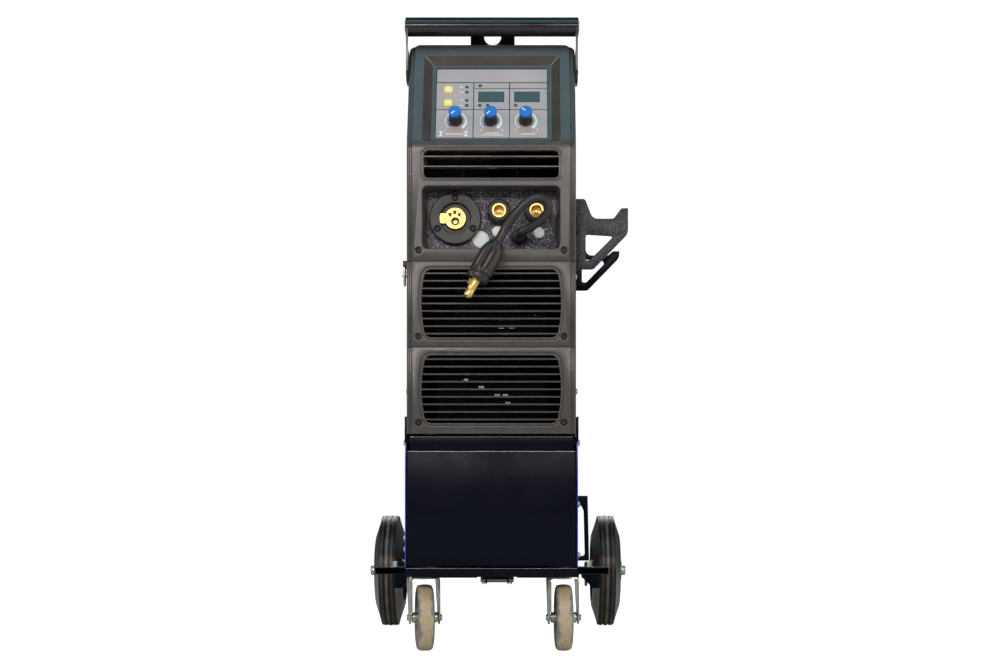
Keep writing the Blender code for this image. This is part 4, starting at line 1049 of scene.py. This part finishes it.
def make_controls():
    for i, up in enumerate((86, 62)):
        name = f"mode_button_{i + 1}"
        rows = []
        for share, out in ((0.97, -3), (1, 0.6), (0.985, 1.3), (0.93, 1.75), (0.8, 2), (0.55, 2.12)):
            rows.append([(x * share, y * share, out) for x, y in superellipse(6.7, 6.4, 3.2)])
        place = Matrix.Translation((-65.1, up, 0))
        label_piece(name + "_cap", [moved(loft(rows), place)], None, "yellow_plastic", name, name)
        rows = []
        for share, out in ((1, 2), (0.96, 2.2), (0.7, 2.26)):
            rows.append([(x * share, y * share, out) for x, y in superellipse(2.9, 2.7, 2.4)])
        label_piece(name + "_lens", [moved(loft(rows), place)], "print_light", "yellow_plastic", name)
    skirt = (
        (0, -6), (2.9, -6), (2.9, 0.35), (9.6, 0.35), (10.2, 0.7), (10.3, 2.4), (9.8, 3.2), (9.1, 4, 0.5),
        (8.9, 12, 0.6), (8.75, 19.2, 0.5), (8.7, 20), (0, 20),
    )
    cap = (
        (0, 19.6), (9.1, 19.6), (9.45, 20), (9.45, 23.6), (9.2, 24.3), (8.6, 24.8), (7.6, 25), (6.6, 24.75),
        (0, 24.75),
    )
    for x, tag, points_to in zip(KNOB_X, "lmr", (-132, -132, -48)):
        name = "knob_" + tag
        turn = Matrix.Translation((x, KNOB_UP, 0)) @ Matrix.Rotation(math.radians(-points_to), 4, "Z")
        body = moved(lathe(skirt, segments=96, flutes=24), turn)
        label_piece(name + "_skirt", [body], "deep_black", "blue_plastic", name, name)
        top = moved(lathe(cap, segments=48), turn)
        nub = moved(plate([(-1.3, 8.6), (1.3, 8.6), (0.8, 12.4), (-0.8, 12.4)], "Z", 0.6, 5.5, 0.3), turn)
        label_piece(name + "_cap", [top, nub], None, "blue_plastic", name)
        line = moved(block((-0.75, 0.75), (0.8, 7.6), (24.6, 25), 0.1), turn)
        label_piece(name + "_pointer", [line], "print_light", "blue_plastic", name)


# ---------------------------------------------------------------- connector bay


def make_torch_socket():
    flange = (
        (0, 36), (20, 36), (20, -0.3), (38.4, -0.3), (38.4, -8.2), (38, -9.2), (37, -9.9), (24.6, -9.9),
        (23.8, -9.7), (23.2, -9), (22.6, -4.4), (22, -3), (0, -3),
    )
    screws = []
    wells = []
    for k in range(3):
        angle = math.radians(90 + 120 * k)
        centre = (TORCH[0] + 30.6 * math.cos(angle), TORCH[1] - 10, TORCH[2] + 30.6 * math.sin(angle))
        wells.append(lathe(((0, -3.4), (4.4, -3.4), (5.6, 0.6), (0, 0.6)), centre, (0, -1, 0), 24))
        screws.append(((centre[0], centre[1] + 3.2, centre[2]), (0, -1, 0)))
    body = carve(lathe(flange, TORCH, (0, 1, 0), 96), *wells)
    piece("torch_socket_flange", body, "black_plastic", look="flange", replaces="torch_socket")
    fasteners("torch_socket_screws", screw_head(4, 2.4, "hex"), screws, look="deep_black")
    core = (
        (0, -2.5), (17, -2.5), (17, -6.6), (16.7, -7.2), (16.2, -8.6), (15.6, -9), (0, -9),
    )
    core = lathe(core, TORCH, (0, 1, 0), 64)
    tab = plate([(-23.6, -7.4), (-14, -7.4), (-14, 7.4), (-23.6, 7.4)], "Y", -8.6, -3.2, 0.5, 1.5)
    core = carve(core, moved(tab, Matrix.Translation(TORCH)), operation="UNION")
    holes = []
    for (x, z), radius in zip(((0, -4.5), *TORCH_PINS), (6.2, 3, 3, 3)):
        centre = (TORCH[0] + x, TORCH[1] - 20, TORCH[2] + z)
        holes.append(lathe(((0, 0), (radius, 0), (radius, 16.8), (0, 16.8)), centre, (0, 1, 0), 32))
    piece("torch_socket_core", soften(carve(core, *holes), 0.3, 1), "brass")
    # The liner and contacts deep in the socket's holes are brass, drawn matt black: painted shade of the
    # holes.
    liner = (TORCH[0], TORCH[1] - 7.4, TORCH[2] - 4.5)
    tube = ((3.6, 0), (6, 0), (6, 4), (3.6, 4))
    dark = [lathe(tube, liner, (0, 1, 0), 32)]
    for x, z in TORCH_PINS:
        root = Vector(TORCH) + Vector((x, -3.4, z))
        dark.append(rod(1.3, root, root - Vector((0, 4.1, 0))))
    piece("torch_socket_pins", merge(*dark), "brass", look="deep_black")


def make_power_sockets():
    shell = (
        (0, 20), (13.8, 20), (13.8, -0.3), (17.6, -0.3), (18, -0.8), (18, -8.4), (17.5, -9), (16.6, -9.4),
        (16.2, -10.4), (16.2, -17.6), (15.7, -19), (14.4, -19.8), (12.6, -20), (11.3, -19.6), (10.9, -18.6),
        (10.9, -16), (0, -16),
    )
    cup = (
        (10.9, -16.4), (10.9, -17.6), (10.5, -18.4), (8.1, -18.4), (7.3, -17.7), (7, -16.6), (6.9, -4),
        (5.6, -3.2), (0, -3.2), (0, -1), (10.9, -1),
    )
    for x, tag in SOCKETS:
        node = "power_socket_" + tag
        centre = (x, PLATE_Y, SOCKET_Z)
        mouth = (x, PLATE_Y - 19.2, SOCKET_Z)
        bore = lathe(((0, 0), (10.9, 0), (10.9, 18.6), (0, 18.6)), mouth, (0, 1, 0), 48)
        lugs = []
        for middle in (x - 16.2, x + 16.2):
            lugs.append(block((middle - 2.2, middle + 2.2), (22, 30), (653, 659), 0.6))
        body = merge(carve(lathe(shell, centre, (0, 1, 0), 64), bore), *lugs)
        piece(node + "_shell", body, "black_plastic", look="deep_black", replaces=node)
        pin = lathe(((0, -1.2), (2.8, -1.2), (2.8, -7.6), (2.2, -8.6), (0, -9)), centre, (0, 1, 0), 32)
        key = block((x - 2.6, x + 2.6), (22.4, 38), (SOCKET_Z - 10.4, SOCKET_Z - 6.6), 0.3)
        piece(node + "_contact", merge(lathe(cup, centre, (0, 1, 0), 48), pin, key), "brass")


def make_bay():
    softened("connector_plate", 0.2)
    make_torch_socket()
    make_power_sockets()
    gland = (
        (0, 10), (8.4, 10), (8.4, -0.3), (11.3, -0.3), (11.5, -1), (11.5, -8.2, 0.5), (11, -9.4),
        (9.8, -10.6), (9.5, -13), (9.5, -14.2), (8.9, -14.6), (9.2, -15.4), (9.2, -16.6), (8.7, -17.2),
        (9, -18), (8.6, -19.4), (7.6, -20), (0, -20),
    )
    body = lathe(gland, (41, PLATE_Y, 619), (0, 1, 0), 72, flutes=18)
    piece("lead_gland_body", body, "black_plastic", look="deep_black", replaces="lead_gland")
    discs, marks = [], []
    for x, z, radius in ((-16.7, 616, 12.3), (70.5, 626, 8), (8, 628, 7.6)):
        profile = ((0, 0.1), (radius, 0.1), (radius, -0.12), (radius - 0.2, -0.2), (0, -0.2))
        discs.append(lathe(profile, (x, PLATE_Y, z), (0, 1, 0), 48))
        inner, outer = radius * 0.84, radius * 0.9
        profile = ((inner, -0.1), (outer, -0.1), (outer, -0.26), (inner, -0.26))
        marks.append(lathe(profile, (x, PLATE_Y, z), (0, 1, 0), 48))
    piece("bay_stickers", merge(*discs), "label", look="sticker")
    piece("bay_sticker_rings", merge(*marks), "label", look="print_soft")


# ---------------------------------------------------------------- housing


def louvre(x, side, y, z, long):
    """A pressed louvre on an upright side sheet: a hood that opens downwards."""
    rows = []
    for k in range(9):
        t = k / 8
        along = y - long / 2 + long * t
        swell = 3 * math.sin(math.pi * min(1, max(0, (0.5 - abs(t - 0.5)) * 5)) / 2)
        section = [(-0.6, 4.6), (0.35 * swell, 3.2), (0.8 * swell, 0.8), (swell, -2.6)]
        section += [(swell - 0.7, -2.8), (-0.6, -2.2)]
        rows.append([(x + side * depth, along, z + up) for depth, up in section])
    return loft(rows)


def make_housing():
    for side, tag in ((RIGHT, "r"), (LEFT, "l")):
        vents = []
        for column in range(3):
            for row in range(6):
                vents.append(louvre(side * (HALF + 0.3), side, 150 + 110 * column, 380 + 14 * row, 84))
        softened("side_cover_" + tag, 0.5, extra=vents)
    bars = [((140, 480), (z - 1.2, z + 1.2)) for z in (622, 842)]
    bars += [((y - 1.2, y + 1.2), (621, 843)) for y in (140, 480)]
    panel = []
    for (near, far), (low, high) in bars:
        panel.append(plate([(near, low), (far, low), (far, high), (near, high)], "X", -125.6, -124.4, 0.5))
    softened("spool_door", 0.5, extra=panel)
    softened("top_cover", 0.5)
    softened("back_panel", 0.4)
    softened("machine_base", 0.4)
    softened("centre_divider", 0.3)
    screws = []
    for side in (LEFT, RIGHT):
        for y, z in ((60, 330), (260, 330), (500, 330), (44, 389), (500, 560)):
            screws.append(((side * 126, y, z), (side, 0, 0)))
    for y, z in ((40, 560), (508, 700), (508, 880), (115, 850), (260, 880)):
        screws.append(((125, y, z), (1, 0, 0)))
    for x in (-112, 112):
        for z in (340, 480, 620, 760, 895):
            screws.append(((x, 522.3, z), (0, 1, 0)))
    for x, y in ((-105, 130), (105, 130), (-105, 500), (105, 500)):
        screws.append(((x, y, 908), (0, 0, 1)))
    fasteners("housing_screws", screw_head(4.2, 2.6), screws)
    x, z = DOOR_AXIS
    knuckles = []
    for i in range(14):
        y = 150 + 24 * i
        knuckles.append(rod(1.9, (x, y, z), (x, y + 23.4, z), 0.3, 20))
    piece("door_hinge", merge(*knuckles), "black_paint", "spool_door")


def make_handle():
    centre = (58, 939)
    profile = (
        (0, -131), (9.6, -131), (10, -130.4), (12.4, -130.2), (13.4, -129.9), (14, -129.2), (14, 129.2),
        (13.4, 129.9), (12.4, 130.2), (10, 130.4), (9.6, 131), (0, 131),
    )
    tube = lathe(profile, (0, *centre), (1, 0, 0), 72)
    outline = []
    for k in range(17):
        angle = math.radians(200 - 220 * k / 16)
        outline.append((centre[0] + 13.6 * math.cos(angle), centre[1] + 13.6 * math.sin(angle)))
    foot = rounded([(92, 905), (92, 855), (46, 855), (45.2, 932)], [10, 16, 16, 0])
    arms = []
    for side in (LEFT, RIGHT):
        low, high = sorted((side * 125.5, side * 129))
        arms.append(soften(prism(outline + foot, "X", low, high), 0.9, 3))
    piece("carry_handle_form", merge(tube, *arms), look="gloss_black", replaces="carry_handle")
    bolts = []
    for side in (LEFT, RIGHT):
        bolts += [((side * 128.6, y, z), (side, 0, 0)) for y, z in ((62, 872), (76, 890))]
    fasteners("handle_bolts", screw_head(5.2, 1.2, "hex"), bolts, look="deep_black")


def make_lifting_lug():
    half = 33.7
    outline = [(-half, LUG_FOOT), (half, LUG_FOOT), (half, LUG_TOP), (-half, LUG_TOP)]
    lug = prism(rounded(outline, [0, 0, 10, 10], 8), "Y", 98, 102)
    foot = block((-half, half), (98.5, 138), (LUG_FOOT, 912), 0.05)
    lug = carve(lug, foot, operation="UNION")
    lug = carve(lug, rod(13, (0, 80, 937), (0, 120, 937), 0.05, 48))
    piece("lifting_lug_form", soften(lug, 0.8, 3), replaces="lifting_lug")
    places = [((x, 124, 912), (0, 0, 1)) for x in (-22, 22)]
    fasteners("lug_bolts", bolt_head(6, 5), places)


# Cable hooks: the upper edge from its outer end to the top of its inner slope, the radius of each of its
# corners, and the window.
FRONT_HOOK = (
    [(206.4, 670.7), (196, 670.7), (184.5, 654.8), (152.4, 654.8), (141, 684.8)],
    [0.8, 4.5, 6, 11, 5],
    [(141.9, 590), (149, 592.6), (182.4, 626), (181, 628.2), (141.9, 630.7)],
)
REAR_HOOK = (
    [(207, 643.2), (196, 643.2), (188, 636.2), (153, 636.2), (141, 684.8)],
    [1.5, 3, 5, 9, 5],
    [(144.5, 591), (151.5, 591), (182, 622.4), (178, 628), (144.5, 630)],
)


def make_hook(node, y, shape, look):
    """A bent plate: a cradle and a window in front, and a flange in two tabs on the side of the housing."""
    root = 125.5
    upper, bends, window = shape
    outline = [(root + 1.2, 577.6), (153.5, 577.6), (206.4, 632), *upper, (root + 1.2, 684.8)]
    bm = prism(rounded(outline, [0.5, 8, 16, *bends, 0.5]), "Y", y, y + 4)
    gap = block((root, 131.5), (y - 5, y + 40), (630, 638), 0.05)
    flange = block((root, root + 3), (y + 1, y + 26), (578.5, 684), 0.05)
    bm = carve(bm, flange, operation="UNION")
    bm = carve(bm, prism(rounded(window, 3.4), "Y", y - 5, y + 10), gap)
    piece(node + "_form", soften(bm, 0.6, 2), "speckle_paint", look=look, replaces=node)
    places = [((root + 3, y + 15, z), (1, 0, 0)) for z in (596, 655)]
    fasteners(node + "_bolts", screw_head(4.2, 3), places)


def make_latch():
    softened("latch_bracket", 0.5, "deep_black")
    softened("latch_lever", 0.4)
    places = [((-131.6, y, 583.5), (-1, 0, 0)) for y in (71, 81)]
    fasteners("latch_rivets", screw_head(2.2, 1.2), places, body="latch_lever")


# ---------------------------------------------------------------- cabinet and cart


def make_cabinet():
    softened("cabinet_front", 1.6)
    softened("cabinet_frame", 1.4)
    for tag, side in (("l", LEFT), ("r", RIGHT)):
        softened("cabinet_side_" + tag, 0.5)
        front = (312, 220, 144) if side == RIGHT else (312, 170, 153)
        spots = [(40, z) for z in front] + [(270, 300), (500, 300), (270, 150), (500, 150)]
        places = [((side * CABINET_SIDE, y, z), (side, 0, 0)) for y, z in spots]
        fasteners(f"cabinet_screws_{tag}", screw_head(4.6, 3.6), places)


def make_painted_highlight_edges():
    """Painted highlights: thin bright metal rods along the long front edges, standing for the light that the
    gloss paint catches where it turns over.
    """
    beads = []
    for half, y, z in ((123.4, CABINET_FRONT + 0.6, 297.6), (119.8, 12.6, 319.6), (126, 0.7, 125.4)):
        beads.append(rod(0.75, (-half, y, z), (half, y, z), 0.3, 12))
    piece("painted_highlight_edges", merge(*beads), look="painted_highlight_edge")


def make_tray():
    softened("chassis_tray", 1.2)
    mat = plate([(-98, 537), (98, 537), (98, 743), (-98, 743)], "Z", 127.4, 128, 0.2, 6)
    piece("cylinder_mat", mat, look="deep_black")
    softened("rear_cross_bar", 0.9)
    softened("cylinder_cradle", 0.6)
    y, z = TOW_PIN
    shaft = rod(4.9, (-30, y, z), (30, y, z), 1.2)
    washer = ((5, -0.8), (8.2, -0.8), (8.2, 0.8), (5, 0.8))
    loops = []
    for side in (LEFT, RIGHT):
        x = side * 25.5
        loops.append(rod(1.3, (x, y, 79.5), (x, y, 96), 0.4, 12))
        loops.append(wire_ring((x, y, 97.2), (1, 0, 0), 2.4, 1.1, 24, 8))
        loops.append(lathe(washer, (side * 22.6, y, z), (1, 0, 0)))
    bolts = [((side * 145, 50, TRAY_TOP), (0, 0, 1)) for side in (LEFT, RIGHT)]
    fasteners("ear_bolts", bolt_head(5.2, 8.4), bolts)
    piece("tow_pin_form", merge(shaft, *loops), "zinc", replaces="tow_pin")


def make_rear_wheels():
    tread = []
    for k in range(-3, 4):
        x = 4.5 * k
        if k % 2:
            tread += [(WHEEL_R - 2.4, x - 0.7), (WHEEL_R - 2.4, x + 0.7)]
        else:
            top = WHEEL_R - abs(x) * 0.04
            tread += [(top - 0.3, x - 3.1), (top, x - 2.6), (top, x + 2.6), (top - 0.3, x + 3.1)]
    wall = [
        (WHEEL_R - 0.8, 14.3), (WHEEL_R - 1.8, 14.9), (96.5, 15.6), (90, 17.6), (83, 20), (76, 22.3),
        (70, 24.4), (66, 25.6), (64, 25.2), (63, 25.9), (61.4, 25.4), (60.6, 21), (60, 14), (59, 5),
    ]
    profile = (
        [(9, -25.6), (18.4, -25.6), (19, -25), (21, -19), (21.4, -6), (23, -4.6)]
        + [(radius, -x) for radius, x in wall[::-1]]
        + tread
        + wall
        + [(23, 4.6), (21.4, 6), (21, 19), (19, 27), (18.4, 27.6), (9, 27.6)]
    )
    for side, tag in ((LEFT, "l"), (RIGHT, "r")):
        name = "rear_wheel_" + tag
        hub = Vector((side * WHEEL_CENTRE[0], *WHEEL_CENTRE[1:]))
        rim = lathe(profile, (0, 0, 0), (side, 0, 0), 96)
        spokes = []
        for k in range(6):
            web = block((-3.6, 3.6), (20, 61), (-12, 12), 0.8)
            web.transform(Matrix.Rotation(math.radians(90), 4, "Y"))
            web.transform(Matrix.Rotation(math.radians(60 * k), 4, "X"))
            spokes.append(web)
        local = Matrix.Translation(hub)
        piece(name + "_tyre", moved(merge(rim, *spokes), local), "rubber", name, replaces=name, local=local)
    half = (
        (8, 226), (17.4, 226), (18, 226.4), (18, 227.8), (17.4, 228.2), (10, 228.3), (9.4, 228.8),
        (9.4, 233.6), (8.6, 235.4), (7, 236), (0, 236), (0, 150), (8, 150),
    )
    ends = [lathe(half, (0, *WHEEL_CENTRE[1:]), (side, 0, 0), 40) for side in (LEFT, RIGHT)]
    bar = rod(8, (-151, *WHEEL_CENTRE[1:]), (151, *WHEEL_CENTRE[1:]))
    piece("rear_axle_form", merge(bar, *ends), "zinc", replaces="rear_axle")


def make_caster_fork(node, local):
    """A bent arch with side lips, trimmed so that its legs sweep back to the axle."""
    outside = rounded([(-23.4, 30), (-23.4, 111), (23.4, 111), (23.4, 30)], [0, 5.5, 5.5, 0])
    gap = rounded([(-20.6, 20), (-20.6, 107.6), (20.6, 107.6), (20.6, 20)], [0, 6, 6, 0])
    bent = carve(prism(outside, "Y", -44, 24), prism(gap, "Y", -50, 30))
    edge_line = [(-39, 125), (22, 125), (22, 101), (-6, 60), (-20, 43), (-32, 38.5)]
    edge_line += [(-43, 47)]
    trim = prism(rounded(edge_line, [2, 2, 6, 14, 8, 9, 9]), "X", -40, 40)
    bent = soften(carve(bent, trim, operation="INTERSECT"), 0.7)
    dimple = lathe(((0, 106), (11, 106), (14, 107.8), (0, 107.8)), (0, 0, 0), (0, 0, 1), 32)
    y, z = CASTER_AXLE[1:]
    bolt = rod(4.4, (-23.6, y, z), (23.6, y, z))
    lips, nuts = [], []
    for edge in (LEFT, RIGHT):
        low, high = sorted((edge * 22.8, edge * 18.2))
        lips.append(plate([(low, -39.6), (high, -39.6), (high, -37.8), (low, -37.8)], "Z", 58, 104, 0.5))
        nuts.append(moved(bolt_head(4.6, 3.4), facing((edge, 0, 0), (edge * 23.3, y, z))))
    shape = moved(merge(bent, dimple, *lips, bolt, *nuts), local)
    piece(node + "_form", shape, "zinc", node, replaces=node, local=local)


def make_caster_wheel(node, hub):
    wall = [
        (49.9, 3), (49.6, 6), (48.8, 9.2), (47.2, 11.2), (44.4, 12.2), (41, 12.4), (38.6, 12), (37.4, 11.4),
        (36.2, 8), (34, 6.8), (10, 6.8),
    ]
    tyre = [(radius, -x) for radius, x in wall[::-1]] + [(50, 0)] + wall
    rubber = moved(lathe(tyre, axis=(1, 0, 0), segments=72), hub)
    piece(node + "_tyre", rubber, "grey_rubber", node, replaces=node, local=hub)
    sleeve = [(5.4, -19), (7.4, -19), (8, -18.4), (8, -9), (10.8, -7.4), (10.8, 7.4), (8, 9)]
    sleeve += [(8, 18.4), (7.4, 19), (5.4, 19)]
    bush = moved(lathe(sleeve, axis=(1, 0, 0), segments=32), hub)
    piece(node + "_hub", bush, "zinc", node, local=hub)


def make_casters():
    head = (
        (0, 111.3), (15.6, 111.3), (16.4, 112.2), (19.6, 113), (20.4, 114.2), (20.4, 116.8), (19.4, 117.6),
        (16, 118.2), (15.4, 119.2), (20.4, 119.9), (20.4, 123), (0, 123),
    )
    for side, tag in ((LEFT, "l"), (RIGHT, "r")):
        swivel = Vector((side * CASTER_X, CASTER_Y, 0))
        turn = Matrix.Rotation(CASTER_YAW[side], 4, "Z")
        node = "caster_plate_" + tag
        piece(node + "_form", lathe(head, swivel, (0, 0, 1), 48), "zinc", replaces=node)
        local = Matrix.Translation(swivel) @ turn
        make_caster_fork("caster_fork_" + tag, local)
        centre = local @ Vector(CASTER_AXLE)
        make_caster_wheel("caster_wheel_" + tag, Matrix.Translation(centre) @ turn)


def make_side_bracket():
    outer = [(128.4, 128), (128.4, 236.1), (154, 236.1), (156.4, 128)]
    slot = [(137, 136), (137, 225), (143.5, 219), (147.2, 211), (149.2, 136)]
    bm = prism(rounded(outer, [0.5, 0.5, 0.8, 1]), "Y", 298, 303)
    bm = carve(bm, block((128.4, 131), (300, 330), (129, 235), 0.05), operation="UNION")
    bm = carve(bm, prism(rounded(slot, [1.5, 1.5, 2, 6, 4.5]), "Y", 290, 306))
    piece("side_bracket_form", soften(bm, 0.6), replaces="side_bracket")
    places = [((131, 318, z), (1, 0, 0)) for z in (137, 221)]
    fasteners("side_bracket_bolts", merge(bolt_head(4.6, 5), rod(3, (0, 0, 4), (0, 0, 12))), places)


# ---------------------------------------------------------------- inside and back


def make_spool():
    flange = (
        [(20.4, -9), (24, -9), (26, -10.6), (60, -10.6), (62, -9.2), (66, -9.2), (68, -10.4)]
        + [(143, -10.4), (145, -9.1), (147.6, -9.1), (148, -10.4), (147.6, -11.8), (128, -12)]
        + [(128, -102), (147.6, -102.2), (148, -103.6), (147.6, -104.9), (145, -104.9), (143, -103.6)]
        + [(68, -103.6), (66, -104.8), (62, -104.8), (60, -103.4), (26, -103.4), (24, -105)]
        + [(20.4, -105)]
    )
    reel = lathe(flange, (0, 0, 0), (1, 0, 0), 96)
    windows = []
    for k in range(5):
        outline = rounded([(34, -8), (56, -16), (56, 16), (34, 8)], 4)
        cutter = prism(outline, "X", -110, 0)
        cutter.transform(Matrix.Rotation(2 * math.pi * k / 5, 4, "X"))
        windows.append(cutter)
    reel = carve(reel, *windows)
    local = Matrix.Translation(SPOOL)
    piece("wire_spool_reel", moved(reel, local), "wire", "wire_spool", "grey_plastic", "wire_spool", local)
    turns = [(61, -12.4)]
    count = 60
    for i in range(count):
        x = -13 - 88 * i / count
        turns += [(127.2, x), (128, x - 0.73)]
    turns += [(127.2, -101.2), (61, -101.6)]
    winding = moved(lathe(turns, axis=(1, 0, 0), segments=96), local)
    piece("wire_spool_winding", winding, "wire", "wire_spool", local=local)
    post = (
        [(0, 1.6), (23.4, 1.6), (24, 1), (24, -1.6), (23.4, -2.3), (20, -3.4), (19.8, -98), (19.2, -104)]
        + [(17.6, -107, 1.2), (17.6, -111, 1.2), (14, -114), (12.6, -114.4), (0, -114.4)]
    )
    post = lathe(post, SPOOL, (1, 0, 0), 72, flutes=12)
    piece("spool_hub_form", post, "black_plastic", replaces="spool_hub")


def make_feeder():
    softened("feeder_plate", 0.6)
    groove = (
        [(0, 26), (4.8, 26), (4.8, 8), (13.6, 8), (14.5, 7.2), (14.5, 4.4), (13.6, 3.6), (14.5, 2.8)]
        + [(14.5, -1.2), (13.6, -2), (14.5, -2.8), (14.5, -5.2), (13.6, -6), (8, -6.2), (8, -9.2)]
        + [(7.2, -10), (0, -10)]
    )
    tyre = [(4.4, -7), (13.8, -7), (15.2, -5.8), (15.2, 5.8), (13.8, 7), (4.4, 7)]
    for node, profile, centre in (("drive_roll", groove, DRIVE_ROLL), ("pressure_roll", tyre, PRESSURE_ROLL)):
        piece(node + "_form", lathe(profile, centre, (1, 0, 0), 48), "zinc", node, replaces=node)
    softened("pressure_arm", 0.5)
    knob = [(0, 0), (6.2, 0, 0.5), (6.8, 1, 0.8), (6.8, 14, 0.8), (5.8, 15.4), (0, 16)]
    knob = lathe(knob, (-8, 122, 698.6), (0, 0, 1), 48, flutes=12)
    piece("tension_knob", knob, "aluminium", "pressure_arm", "deep_black")
    places = [((-2.3, y, z), (-1, 0, 0)) for y, z in ((118, 606), (172, 606), (118, 694), (150, 615))]
    fasteners("feeder_screws", screw_head(3.2, 2.4, "hex"), places)
    motor = (
        [(0, 96), (24, 96), (26, 95), (27.6, 92), (28, 90), (28, 60), (27.2, 59), (27.2, 56)]
        + [(28, 55), (28, 6), (26.6, 4.2), (8, 4), (8, 0.4), (0, 0.4)]
    )
    piece("feed_motor_form", lathe(motor, (6.2, 140, 640), (1, 0, 0), 56), replaces="feed_motor")


def make_inverter():
    # The inverter, its board, capacitors and choke coil are drawn near-black: painted shade of the inside of
    # the housing.
    softened("inverter_unit", 0.4, "inside")
    board = block((-84, 84), (60, 66), (330, 505), 0.3)
    piece("power_board", board, "aluminium", look="inside")
    cans, glint_blocks = [], []
    for x, z in ((-60, 470), (-36, 470), (-60, 440), (-36, 440), (40, 350), (62, 350)):
        cans.append(rod(10, (x, 59.6, z), (x, 38, z), 1, 28))
        cans.append(rod(8.4, (x, 38.2, z), (x, 37.4, z), 0.3, 28))
    piece("capacitors", merge(*cans), "black_plastic", look="inside")
    # Painted light: near-white blocks shaped as terminals, standing for the specks of light seen through the
    # grilles.
    glint_spots = [(-64, 415), (-40, 407), (-16, 396), (8, 384), (20, 384), (24, 372)]
    for x, z in glint_spots + [(14, 486), (30, 486)]:
        glint_blocks.append(block((x - 4, x + 4), (52, 60), (z - 1.6, z + 1.6), 0.3))
    piece("painted_light_terminals", merge(*glint_blocks), "aluminium", look="painted_glint_white")
    coil = []
    for k in range(9):
        coil.append(wire_ring((20, 48, 410 + 4.6 * k), (0, 0, 1), 14, 2.1, 32, 8))
    piece("choke_coil", merge(*coil), "wire", look="inside")


def make_back():
    hub = Vector((0, 490, FAN_Z))
    centre = lathe([(0, -12), (14.6, -12), (16, -10.6), (16, 18), (0, 18)], hub, (0, 1, 0), 40)
    blades = []
    for k in range(5):
        rows = []
        for i in range(7):
            r = 13 + 37 * i / 6
            pitch = math.radians(48 - 24 * i / 6)
            chord = 13 + 3 * math.sin(math.pi * i / 6)
            row = []
            for u, thick in ((-1, 0.2), (-0.4, 0.8), (0.4, 0.8), (1, 0.2), (0.4, -0.8), (-0.4, -0.8)):
                x = chord * u * math.cos(pitch) - thick * math.sin(pitch)
                y = chord * u * math.sin(pitch) * 0.55 + thick * math.cos(pitch)
                row.append((x, y, math.sqrt(max(1, r * r - x * x))))
            rows.append(row)
        blade = loft(rows)
        blade.transform(Matrix.Rotation(2 * math.pi * k / 5, 4, "Y"))
        blades.append(moved(blade, Matrix.Translation(hub)))
    rotor = merge(centre, *blades)
    piece("cooling_fan_rotor", rotor, "black_plastic", "cooling_fan", "deep_black", "cooling_fan")
    middle = (0, BACK_Y + 4.2, FAN_Z)
    guard = [wire_ring(middle, (0, 1, 0), radius, 1.2, 72) for radius in (16, 28, 40, 52, 60)]
    for k in range(4):
        angle = math.radians(45 + 90 * k)
        tip = (76 * math.cos(angle), BACK_Y + 2, FAN_Z + 76 * math.sin(angle))
        guard.append(rod(1.4, (0, BACK_Y + 2, FAN_Z), tip, 0.4, 12))
        guard.append(wire_ring(tip, (0, 1, 0), 4.6, 1.4, 24, 8))
    piece("fan_guard", merge(*guard), "zinc")
    corners = []
    for x in (-76 * 0.7071, 76 * 0.7071):
        for z in (-76 * 0.7071, 76 * 0.7071):
            corners.append(((x, BACK_Y - 0.4, FAN_Z + z), (0, 1, 0)))
    fasteners("fan_guard_screws", screw_head(3.8, 3.4), corners)
    nipple = (
        [(0, 22), (3.2, 22), (4, 21.4), (5, 18.4), (4.2, 18.2), (5.3, 14.6), (4.4, 14.4), (5.5, 10.8)]
        + [(4.6, 10.4), (4.6, 8.2), (6, 8), (6, -10), (0, -10)]
    )
    nut = moved(soften(prism(hexagon(10), "Z", 0, 8), 0.6), facing((0, 1, 0), (70, BACK_Y, 560)))
    gas = merge(lathe(nipple, (70, BACK_Y, 560), (0, 1, 0), 40), nut)
    piece("gas_inlet_form", gas, "brass", replaces="gas_inlet")
    gland = (
        [(12, -12), (12, 0), (17.4, 0), (18, 0.6), (18, 9, 0.8), (17, 10.4), (15.6, 11)]
        + [(15, 14, 0.8), (14.4, 21, 0.6), (13, 23.6), (11, 24), (8.6, 24), (8, 23), (8, -12)]
    )
    body = lathe(gland, (-70, BACK_Y, 560), (0, 1, 0), 96, flutes=16)
    piece("mains_gland_form", body, "black_plastic", look="deep_black", replaces="mains_gland")
    softened("power_switch", 0.6, "deep_black")
    rim = []
    for half, depth in ((14.4, 0), (18.4, 0), (18.4, 1.6), (17.6, 2.4), (14.4, 2.4)):
        outline = ring(half, 852 - half, 858 + half, 2)
        rim.append([(x - 86, BACK_Y + depth, z) for x, z in outline])
    piece("switch_frame", loft(rim, closed=True), "black_plastic", look="deep_black")


# ---------------------------------------------------------------- all


def main():
    make_camera()
    make_studio()
    make_lead()
    make_bezels()
    make_label()
    make_controls()
    make_bay()
    make_housing()
    make_handle()
    make_lifting_lug()
    make_hook("cable_hook_front", 80, FRONT_HOOK, "dark_speckle")
    make_hook("cable_hook_rear", 300, REAR_HOOK, "black_paint")
    make_latch()
    make_cabinet()
    make_painted_highlight_edges()
    make_tray()
    make_rear_wheels()
    make_casters()
    make_side_bracket()
    make_spool()
    make_feeder()
    make_inverter()
    make_back()


main()
